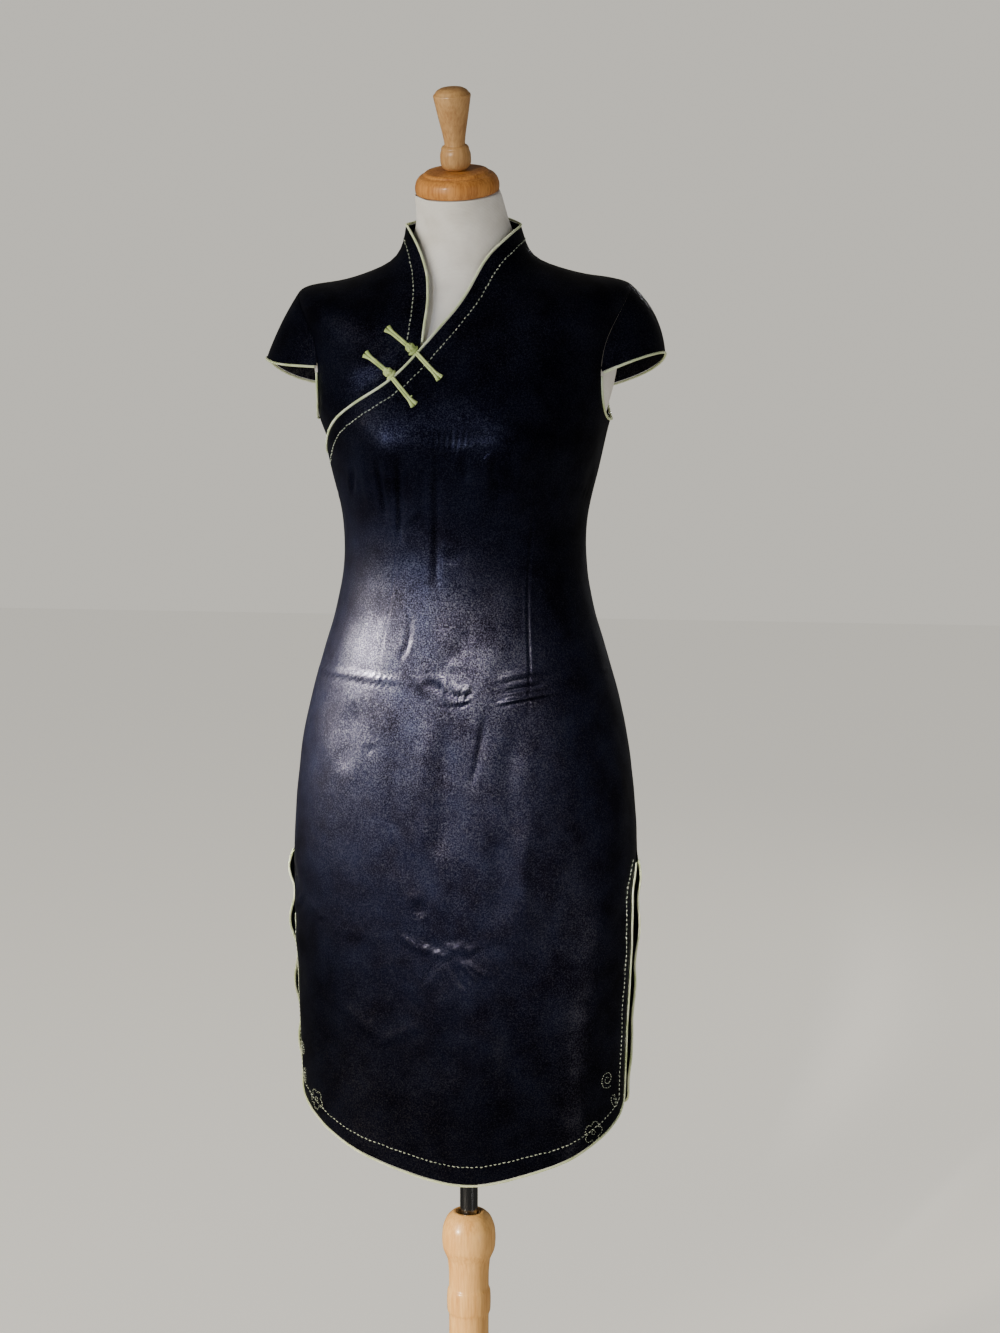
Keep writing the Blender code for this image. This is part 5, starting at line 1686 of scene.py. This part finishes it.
CAP_CENTRE = (-10, -16, 1494)
CAP_LEAN = (-0.03, -0.225, 0.974)
ROD = (
    Turn(0, 332), Turn(10, 332), Turn(10, 843.7), Turn(16, 843.7), Turn(16, 855.7),
    Turn(45, 855.7), Turn(45, 859.7), Turn(0, 859.7),
)
NECK_CAP = (
    Turn(0, 0.3), Turn(42.5, 0.3), Turn(44.3, 2.5), Turn(44.6, 8), Turn(43.0, 14),
    Turn(39.5, 18.5), Turn(35.0, 20.2), Turn(34.2, 21.8), Turn(32.0, 23.4), Turn(0, 23.8),
)
FINIAL = (
    Turn(0, 24.1), Turn(11, 24.1), Turn(14.8, 27.5), Turn(16.2, 32), Turn(16.2, 41),
    Turn(14.6, 45.5), Turn(14.6, 47.5), Turn(13.2, 49.5), Turn(10.6, 50.5), Turn(12.0, 61),
    Turn(16.2, 82), Turn(19.0, 97.5), Turn(19.8, 101.8), Turn(19.2, 103.4), Turn(18.4, 103.7),
    Turn(16.3, 107), Turn(11.4, 109.8), Turn(0, 110.8),
)
POST = (
    Turn(0, 25.3), Turn(30, 25.3), Turn(33, 30), Turn(33, 36), Turn(28, 42), Turn(24, 60),
    Turn(22.2, 90), Turn(22.2, 250), Turn(24.2, 254), Turn(24.6, 266), Turn(24.2, 278),
    Turn(22.2, 282), Turn(22.4, 300), Turn(23.6, 314), Turn(25.6, 319), Turn(29.2, 327),
    Turn(30.2, 340), Turn(29.0, 353), Turn(24.5, 364), Turn(18.0, 370), Turn(14.0, 370),
    Turn(11.2, 362), Turn(10.4, 352), Turn(10.4, 331.7), Turn(0, 331.7),
)
BASE = (
    Turn(0, 0), Turn(158, 0), Turn(160, 2), Turn(160, 9), Turn(156, 15), Turn(146, 18.5),
    Turn(100, 21.5), Turn(60, 25), Turn(0, 25),
)


@dataclass
class Stand:
    """The jersey form, its wooden cap and finial, the rod, the post and the base."""

    surface: DressSurface
    sockets: dict[str, Socket]
    form_floor: float = 860 * MM
    form_columns: int = 200
    form_rows: int = 150
    shoulder_rows: int = 44
    form_neck: float = 44.2 * MM
    ease_power: float = 0.7
    chaikin: int = 3
    chaikin_cut: float = 0.18
    knit_radius: float = 0.135

    def torso(self) -> bpy.types.Object:
        """The jersey torso: the dress's surface set in by the ease, cut flat below."""
        surface = self.surface
        columns = np.linspace(-math.pi, math.pi, self.form_columns, endpoint=False)
        angle = columns[None, :]
        low = float(surface.up_at(0.0, self.form_floor))
        tip = surface.station("upper chest")
        below = np.linspace(low, tip, self.form_rows, endpoint=False)
        above = np.linspace(tip, surface.station("neck top"), self.shoulder_rows * 2)
        rows = np.concatenate([below, above])[:, None]
        ease = surface.ease(rows)
        share = np.abs(np.sin(angle)) ** self.ease_power
        inset = ease[..., 0] + (ease[..., 1] - ease[..., 0]) * share
        points = surface.point(angle, rows) - surface.normal(angle, rows) * inset[..., None]
        points[0, :, 2] = self.form_floor
        points[-1] = self.cap_ring(columns, self.form_neck)
        draft = Draft("form_torso_jersey")
        start = draft.add_points(points)
        faces, row, column = grid_faces(len(rows), self.form_columns, around=True)
        around = column / self.form_columns * 2 * math.pi * self.knit_radius
        draft.add_faces(faces + start, np.stack([around, rows[:, 0][row]], -1))
        for ring, flip in ((0, True), (len(rows) - 1, False)):
            pole = draft.add_points(points[ring].mean(0, keepdims=True))
            edge = start + ring * self.form_columns + np.arange(self.form_columns)
            after = np.roll(edge, -1)
            pair = (after, edge) if flip else (edge, after)
            draft.add_faces(np.stack([np.full(self.form_columns, pole), *pair], -1))
        item = draft.build(self.sockets["jersey"], ("form_torso",), sharp=50)
        return item

    @staticmethod
    def cap_basis() -> np.ndarray:
        """Unit axis of the neck cap and two unit vectors square to it, the first near +X."""
        axis = unit(np.array(CAP_LEAN))
        across = unit(np.cross((0, 1, 0), axis))
        return np.stack([axis, across, np.cross(axis, across)])

    def cap_ring(self, angle: np.ndarray, radius: float) -> np.ndarray:
        """A circle about the cap's centre in the cap's leaning plane."""
        _, across, ahead = self.cap_basis()
        circle = np.cos(angle)[:, None] * across + np.sin(angle)[:, None] * ahead
        return np.array(CAP_CENTRE) * MM + circle * radius

    def eased(self, profile: tuple[Turn, ...]) -> tuple[np.ndarray, np.ndarray]:
        """A profile with its corners cut a few times, so that they are rounded."""
        line = np.array([(point.radius, point.z) for point in profile], float) * MM
        for _ in range(self.chaikin):
            step = np.diff(line, axis=0)
            size = np.linalg.norm(step, axis=1, keepdims=True)
            cut = np.minimum(self.chaikin_cut * size, 3 * MM)
            near = line[:-1] + step / size * cut
            far = line[1:] - step / size * cut
            inner = np.stack([near, far], 1).reshape(-1, 2)[1:-1]
            line = np.concatenate([line[:1], inner, line[-1:]])
        return line[:, 0], line[:, 1]

    def build(self) -> None:
        """Makes every piece of the form and its stand."""
        self.torso()
        upright = np.eye(3)[[2, 0, 1]]
        leaning, centre = self.cap_basis(), np.array(CAP_CENTRE) * MM
        nowhere = np.zeros(3)
        for name, profile, slot, sides, basis, place in (
            ("neck_cap", NECK_CAP, "turned_maple", 96, leaning, centre),
            ("finial", FINIAL, "finial", 80, leaning, centre),
            ("rod", ROD, "rod_steel", 64, upright, nowhere),
            # The post and base take the post's maple, drawn lighter as painted sunlight.
            ("post", POST, "post", 96, upright, nowhere),
            ("base", BASE, "post", 160, upright, nowhere),
        ):
            draft = Draft(f"{name}_turned")
            radius, height = self.eased(profile)
            draft.turned(radius, height, sides, basis, place)
            draft.build(self.sockets[slot], (name,), sharp=35)


def linear(code: str) -> tuple[float, float, float, float]:
    """An sRGB hex code as a linear colour with alpha 1."""
    values = np.array([int(code[k:k + 2], 16) for k in (1, 3, 5)]) / 255
    value = np.where(values <= 0.04045, values / 12.92, ((values + 0.055) / 1.055) ** 2.4)
    return (*(float(part) for part in value), 1.0)


@dataclass
class Recipe:
    """A material in the making: its node tree and its shader."""

    name: str
    constants: dict[str, object]

    def __post_init__(self) -> None:
        """Makes the material and sets the shader's own sockets."""
        self.material = bpy.data.materials.new(self.name)
        self.material.use_nodes = True
        self.tree = self.material.node_tree
        self.shader = self.tree.nodes["Principled BSDF"]
        for key, value in self.constants.items():
            self.shader.inputs[key].default_value = value
        self.coordinates = self.tree.nodes.new("ShaderNodeTexCoord")
        self.place = self.coordinates.outputs["Object"]
        self.cut = self.coordinates.outputs["UV"]

    def node(self, kind: str, inputs: dict, output: int = 0,
             stops: tuple[tuple[float, str], ...] = (), **settings: object) -> bpy.types.NodeSocket:
        """Adds a shader node with its settings and links.

        Args:
            kind: its type without the ShaderNode in front.
            inputs: by name or index, an output socket to link or a value to set.
            output: index of the output that is wanted.
            stops: places and hex colours, on a colour ramp.
            settings: attributes of the node.

        Returns:
            The wanted output.
        """
        made = self.tree.nodes.new(f"ShaderNode{kind}")
        for name, value in settings.items():
            setattr(made, name, value)
        for name, value in inputs.items():
            if isinstance(value, bpy.types.NodeSocket):
                self.tree.links.new(value, made.inputs[name])
            else:
                made.inputs[name].default_value = value
        for k, (place, colour) in enumerate(stops):
            if k >= len(made.color_ramp.elements):
                made.color_ramp.elements.new(place)
            made.color_ramp.elements[k].position = place
            made.color_ramp.elements[k].color = linear(colour)
        return made.outputs[output]

    def finish(self, **sockets: bpy.types.NodeSocket) -> bpy.types.Material:
        """Links outputs to the shader's inputs, by name with _ for a space."""
        for name, output in sockets.items():
            self.tree.links.new(output, self.shader.inputs[name.replace("_", " ")])
        return self.material


@dataclass(frozen=True)
class SatinFinish:
    """Polyester satin, near-black navy, its long warp floats upright.

    The eye gets a black ground and one broad, soft, cool sheen where light strikes it, drawn out
    sideways across the floats and broken into fine glints by a speckled specular tint. Threads
    are about 0.15 mm apart; glints are drawn 1.5 mm and streaks 1.3 mm apart, so that they show.
    """

    dark: str = "#020206"
    light: str = "#060813"
    glint: float = 1.5 * MM
    streak: float = 1.3 * MM

    def make(self) -> bpy.types.Material:
        """Builds the material; glints are places where the floats reflect more."""
        recipe = Recipe("satin_woven", {"Specular IOR Level": 0.6, "Anisotropic": 0.3})
        place = recipe.place
        blotch = recipe.node("TexNoise", {"Vector": place, "Scale": 26.0, "Detail": 5.0,
                                          "Roughness": 0.6})
        glint = recipe.node("TexNoise", {"Vector": place, "Scale": 1 / self.glint,
                                         "Detail": 2.0, "Roughness": 0.8})
        floats = recipe.node("Mapping", {"Vector": place, "Scale": (1.0, 1.0, 0.05)})
        streak = recipe.node("TexNoise", {"Vector": floats, "Scale": 1 / self.streak,
                                          "Detail": 2.0})
        both = recipe.node("Mix", {0: 0.24, 2: glint, 3: blotch}, data_type="FLOAT")
        tint = recipe.node("ValToRGB", {"Fac": both},
                           stops=((0.40, "#201E28"), (0.49, "#6E6880"), (0.56, "#C0BACE"),
                                  (0.62, "#FFFFFF")))
        colour = recipe.node("ValToRGB", {"Fac": blotch},
                             stops=((0.35, self.dark), (0.7, self.light)))
        rough = recipe.node("MapRange", {"Value": blotch, "From Min": 0.32, "From Max": 0.68,
                                         "To Min": 0.45, "To Max": 0.34})
        normal = recipe.node("Bump", {"Height": glint, "Strength": 0.22, "Distance": 0.0003})
        normal = recipe.node("Bump", {"Height": streak, "Strength": 0.25, "Distance": 0.0002,
                                      "Normal": normal})
        return recipe.finish(Base_Color=colour, Specular_Tint=tint, Roughness=rough,
                             Normal=normal)


@dataclass(frozen=True)
class CordFinish:
    """Satin-covered cord, sewn on the bias: pale, softly shining, with fine slanting threads.

    The threads, about 0.3 mm apart, are drawn 0.8 mm apart, with painted shade in the grooves between
    them. A little wear darkens it in places.
    """

    name: str
    dark: str
    light: str
    thread: float = 0.8 * MM

    def make(self) -> bpy.types.Material:
        """Builds the material; the slant comes from the cord's own UV in metres."""
        recipe = Recipe(self.name, {"Roughness": 0.48, "Specular IOR Level": 0.4,
                                    "Sheen Weight": 0.1, "Sheen Roughness": 0.4})
        threads = recipe.node("TexWave", {"Vector": recipe.cut, "Scale": 0.32 / self.thread,
                                          "Distortion": 0.6, "Detail": 1.0},
                              output=1, bands_direction="DIAGONAL")
        wear = recipe.node("TexNoise", {"Vector": recipe.place, "Scale": 55.0, "Detail": 3.0})
        colour = recipe.node("ValToRGB", {"Fac": wear}, stops=((0.34, self.dark), (0.6, self.light)))
        # Painted shade: the colour darkens where the threads' bump is low, in the grooves between
        # them.
        painted_groove_shade = recipe.node("ValToRGB", {"Fac": threads}, stops=((0.0, "#E2E2DE"), (0.6, "#FFFFFF")))
        mixed = recipe.node("Mix", {0: 1.0, 6: colour, 7: painted_groove_shade}, output=2, data_type="RGBA",
                            blend_type="MULTIPLY")
        normal = recipe.node("Bump", {"Height": threads, "Strength": 0.35, "Distance": 0.0003})
        return recipe.finish(Base_Color=mixed, Normal=normal)


@dataclass(frozen=True)
class ThreadFinish:
    """Twisted polyester sewing thread, pale grey-green: dull, a little uneven in tone."""

    dark: str = "#8D9582"
    light: str = "#C6CCB6"

    def make(self) -> bpy.types.Material:
        """Builds the material; the thread's ply is 0.35 mm."""
        recipe = Recipe("sewing_thread", {"Roughness": 0.65, "Specular IOR Level": 0.3})
        tone = recipe.node("TexNoise", {"Vector": recipe.place, "Scale": 150.0, "Detail": 2.0})
        ply = recipe.node("TexNoise", {"Vector": recipe.place, "Scale": 2800.0})
        colour = recipe.node("ValToRGB", {"Fac": tone}, stops=((0.36, self.dark), (0.64, self.light)))
        normal = recipe.node("Bump", {"Height": ply, "Strength": 0.3, "Distance": 0.0002})
        return recipe.finish(Base_Color=colour, Normal=normal)


@dataclass(frozen=True)
class JerseyFinish:
    """Cotton jersey, off-white, finely knitted: matt and warm, with faint upright wales.

    The wales, about 0.8 mm apart, are drawn 1.6 mm apart, so that they show, with painted shade
    between the loops.
    """

    dark: str = "#D9D3C8"
    light: str = "#EFEBE2"
    wale: float = 1.6 * MM

    def make(self) -> bpy.types.Material:
        """Builds the material; wales and courses come from the piece's UV in metres."""
        recipe = Recipe("jersey_knit", {"Roughness": 0.88, "Specular IOR Level": 0.25,
                                        "Sheen Weight": 0.2, "Sheen Roughness": 0.6})
        wave = {"Vector": recipe.cut, "Distortion": 0.4, "Detail": 1.0}
        wales = recipe.node("TexWave", {**wave, "Scale": 0.314 / self.wale}, output=1,
                            bands_direction="X")
        courses = recipe.node("TexWave", {**wave, "Scale": 0.39 / self.wale}, output=1,
                              bands_direction="Y")
        knit = recipe.node("Math", {0: wales, 1: courses}, operation="MULTIPLY")
        tone = recipe.node("TexNoise", {"Vector": recipe.place, "Scale": 30.0, "Detail": 4.0})
        colour = recipe.node("ValToRGB", {"Fac": tone}, stops=((0.3, self.dark), (0.62, self.light)))
        # Painted shade: the colour darkens where the knit's bump is low, between wales and courses.
        painted_groove_shade = recipe.node("ValToRGB", {"Fac": knit}, stops=((0.0, "#E6E4E1"), (0.5, "#FFFFFF")))
        mixed = recipe.node("Mix", {0: 1.0, 6: colour, 7: painted_groove_shade}, output=2, data_type="RGBA",
                            blend_type="MULTIPLY")
        normal = recipe.node("Bump", {"Height": knit, "Strength": 0.4, "Distance": 0.0003})
        return recipe.finish(Base_Color=mixed, Normal=normal)


@dataclass(frozen=True)
class WoodFinish:
    """Maple, turned, sanded and varnished: warm, with fine upright grain under a soft gloss.

    The pores, about 0.1 mm, are drawn as streaks about 2 mm apart.
    """

    name: str
    dark: str
    light: str
    grain: float = 2.2 * MM
    coat: float = 0.3

    def make(self) -> bpy.types.Material:
        """Builds the material; the grain is noise drawn out along the height."""
        recipe = Recipe(self.name, {"Coat Weight": self.coat, "Coat Roughness": 0.18,
                                    "Specular IOR Level": 0.45})
        drawn = recipe.node("Mapping", {"Vector": recipe.place, "Scale": (1.0, 1.0, 0.06)})
        grain = recipe.node("TexNoise", {"Vector": drawn, "Scale": 1 / self.grain,
                                         "Detail": 5.0, "Roughness": 0.6})
        wide = recipe.node("Mapping", {"Vector": recipe.place, "Scale": (1.0, 1.0, 0.25)})
        figure = recipe.node("TexNoise", {"Vector": wide, "Scale": 60.0, "Detail": 3.0})
        both = recipe.node("Mix", {0: 0.45, 2: grain, 3: figure}, data_type="FLOAT")
        colour = recipe.node("ValToRGB", {"Fac": both}, stops=((0.36, self.dark), (0.6, self.light)))
        rough = recipe.node("MapRange", {"Value": grain, "From Min": 0.3, "From Max": 0.7,
                                         "To Min": 0.44, "To Max": 0.30})
        normal = recipe.node("Bump", {"Height": grain, "Strength": 0.15, "Distance": 0.0003})
        return recipe.finish(Base_Color=colour, Roughness=rough, Normal=normal)


@dataclass(frozen=True)
class SteelFinish:
    """Steel rod, bright drawn: a hard, narrow highlight on a dark mirror, finely scratched."""

    tone: str = "#8C8D90"

    def make(self) -> bpy.types.Material:
        """Builds the material; the scratches are 0.7 mm apart."""
        recipe = Recipe("drawn_steel", {"Metallic": 1.0, "Base Color": linear(self.tone)})
        drawn = recipe.node("Mapping", {"Vector": recipe.place, "Scale": (1.0, 1.0, 0.02)})
        scratch = recipe.node("TexNoise", {"Vector": drawn, "Scale": 1400.0, "Detail": 2.0})
        rough = recipe.node("MapRange", {"Value": scratch, "From Min": 0.3, "From Max": 0.7,
                                         "To Min": 0.14, "To Max": 0.30})
        normal = recipe.node("Bump", {"Height": scratch, "Strength": 0.08, "Distance": 0.0002})
        return recipe.finish(Roughness=rough, Normal=normal)


@dataclass(frozen=True)
class FloorFinish:
    """Seamless paper floor in the wall's tone, matt and evenly bright."""

    tone: str = "#D8D4CA"
    glow: float = 0.84

    def make(self) -> bpy.types.Material:
        """Builds the material."""
        return Recipe("floor_paper", {"Base Color": linear(self.tone), "Roughness": 0.95,
                                      "Specular IOR Level": 0.05,
                                      "Emission Color": linear(self.tone),
                                      "Emission Strength": self.glow}).material


def sockets() -> dict[str, Socket]:
    """Every finish, with the record's slot that it stands for."""
    return {
        "satin": Socket("satin", SatinFinish().make()),
        "trim_cord": Socket("trim_cord", CordFinish("bias_piping", "#C2CF96", "#E1E7C2").make()),
        "knot_cord": Socket("knot_cord", CordFinish("knotted_cord", "#A3B665", "#CAD98C").make()),
        "thread": Socket("trim_cord", ThreadFinish().make()),
        "jersey": Socket("jersey", JerseyFinish().make()),
        "turned_maple": Socket("turned_maple",
                               WoodFinish("cap_maple", "#94571F", "#CB8C48").make()),
        "finial": Socket("turned_maple", WoodFinish("finial_maple", "#9C6E3F", "#C0955F").make()),
        # Painted sunlight: the post and base take a lighter copy of the maple, as if lit by sun.
        "post": Socket("turned_maple", WoodFinish("post_maple_painted_sunlight", "#D0924A", "#F0BC72").make()),
        "rod_steel": Socket("rod_steel", SteelFinish().make()),
    }


@dataclass(frozen=True)
class Lamp:
    """A soft light: where it is, what it looks at, its size, strength, tone and beam."""

    name: str
    place: tuple[float, float, float]
    target: tuple[float, float, float]
    size: tuple[float, float]
    power: float
    tone: str
    beam: float = 0.0
    mirrored: bool = True

    def make(self) -> None:
        """Builds a softbox, or a soft spot where it has a beam, in degrees."""
        if self.beam:
            data = bpy.data.lights.new(self.name, "SPOT")
            data.spot_size, data.spot_blend = math.radians(self.beam), 1.0
            data.shadow_soft_size = self.size[0] / 2
        else:
            data = bpy.data.lights.new(self.name, "AREA")
            data.shape = "RECTANGLE"
            data.size, data.size_y = self.size
        data.energy, data.color = self.power, linear(self.tone)[:3]
        item = bpy.data.objects.new(self.name, data)
        item.location = self.place
        item.visible_glossy = self.mirrored
        aim = Vector(self.target) - Vector(self.place)
        item.rotation_euler = aim.to_track_quat("-Z", "Y").to_euler()
        bpy.context.scene.collection.objects.link(item)


LAMPS = (
    Lamp("sheen", (-2.46, -1.18, 2.00), (-0.12, -0.10, 0.95), (0.3, 0.3), 5600, "#FFFAF8", 8.0),
    Lamp("belly", (-0.20, -2.72, 1.90), (0.01, -0.10, 0.87), (0.3, 0.3), 1400, "#FFFAF8", 8.6),
    Lamp("chest", (-1.45, -2.40, 1.30), (-0.01, -0.12, 1.18), (0.4, 0.4), 300, "#C6D4FF", 8.4),
    Lamp("low fold", (-0.70, -2.50, 1.90), (-0.01, -0.12, 0.70), (0.2, 0.2), 900, "#FFFAF8", 6),
    Lamp("skirt", (1.35, -1.00, 0.12), (0.12, -0.08, 0.62), (0.3, 0.3), 6, "#FFFBF6", 30),
    Lamp("cap glint", (-1.3, -2.3, 2.3), (-0.01, -0.03, 1.56), (0.3, 0.3), 150, "#FFFDF8", 9),
    Lamp("post", (-2.0, -2.2, 0.9), (0.0, 0.0, 0.30), (0.4, 0.4), 700, "#FFF2DC", 11),
    Lamp("back sheen", (0.90, 2.80, 2.00), (0.0, 0.10, 0.98), (0.4, 0.4), 620, "#F6F7FF", 12),
    Lamp("back belly", (-1.2, 2.70, 1.70), (-0.03, 0.10, 0.90), (0.4, 0.4), 300, "#F6F7FF", 12),
    Lamp("window", (-2.6, -1.6, 2.1), (0.0, 0.0, 1.1), (1.4, 1.6), 85, "#FFFBF4", mirrored=False),
    Lamp("fill", (2.4, -2.2, 1.9), (0.0, 0.0, 1.1), (1.6, 1.6), 22, "#F3F5FF", mirrored=False),
    Lamp("back fill", (1.6, 2.8, 2.0), (0.0, 0.0, 1.1), (1.4, 1.6), 16, "#FFFBF4", mirrored=False),
)


@dataclass(frozen=True)
class Studio:
    """Camera as in the photo, soft lights, pale surroundings and a floor."""

    distance: float = 3.10
    turn: float = 7.0
    height: float = 1.50
    pitch: float = 9.4
    lens: float = 78.3
    shift_x: float = 0.0233
    seen: str = "#D8D4CA"
    ambient: float = 0.10
    floor: float = 14.0

    def camera(self) -> None:
        """Places the camera and makes it the scene's."""
        data = bpy.data.cameras.new("camera")
        data.lens, data.sensor_width, data.sensor_fit = self.lens, 36, "AUTO"
        data.shift_x = self.shift_x
        item = bpy.data.objects.new("camera", data)
        turn = math.radians(self.turn)
        item.location = (self.distance * math.sin(turn), -self.distance * math.cos(turn),
                         self.height)
        item.rotation_euler = (math.radians(90 - self.pitch), 0, turn)
        bpy.context.scene.collection.objects.link(item)
        bpy.context.scene.camera = item

    def surroundings(self) -> None:
        """Sets the world: the wall's pale tone where it is seen, dimmer as a light."""
        world = bpy.data.worlds.new("surroundings")
        world.use_nodes = True
        tree = world.node_tree
        backdrop = tree.nodes["Background"]
        backdrop.inputs["Color"].default_value = linear(self.seen)
        path = tree.nodes.new("ShaderNodeLightPath")
        level = tree.nodes.new("ShaderNodeMapRange")
        level.inputs["To Min"].default_value = self.ambient
        tree.links.new(path.outputs["Is Camera Ray"], level.inputs["Value"])
        tree.links.new(level.outputs["Result"], backdrop.inputs["Strength"])
        bpy.context.scene.world = world

    def ground(self) -> None:
        """Lays the floor."""
        half = self.floor / 2
        mesh = bpy.data.meshes.new("floor")
        corners = [(-half, -half, 0), (half, -half, 0), (half, half, 0), (-half, half, 0)]
        mesh.from_pydata(corners, [], [(0, 1, 2, 3)])
        mesh.materials.append(FloorFinish().make())
        item = bpy.data.objects.new("floor", mesh)
        item.visible_glossy = False
        bpy.context.scene.collection.objects.link(item)

    def build(self) -> None:
        """Sets up the whole studio."""
        self.camera()
        for lamp in LAMPS:
            lamp.make()
        self.surroundings()
        self.ground()


def main() -> None:
    """Builds the studio, the form with its stand and the dress, and reports each."""
    logging.basicConfig(level=logging.INFO, format="%(name)s: %(message)s")
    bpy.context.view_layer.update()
    Studio().build()
    LOG.info("studio built")
    surface, finishes = DressSurface(), sockets()
    Stand(surface, finishes).build()
    LOG.info("form and stand built")
    Dress(surface, finishes).build()
    LOG.info("dress built")


if __name__ == "__main__":
    main()
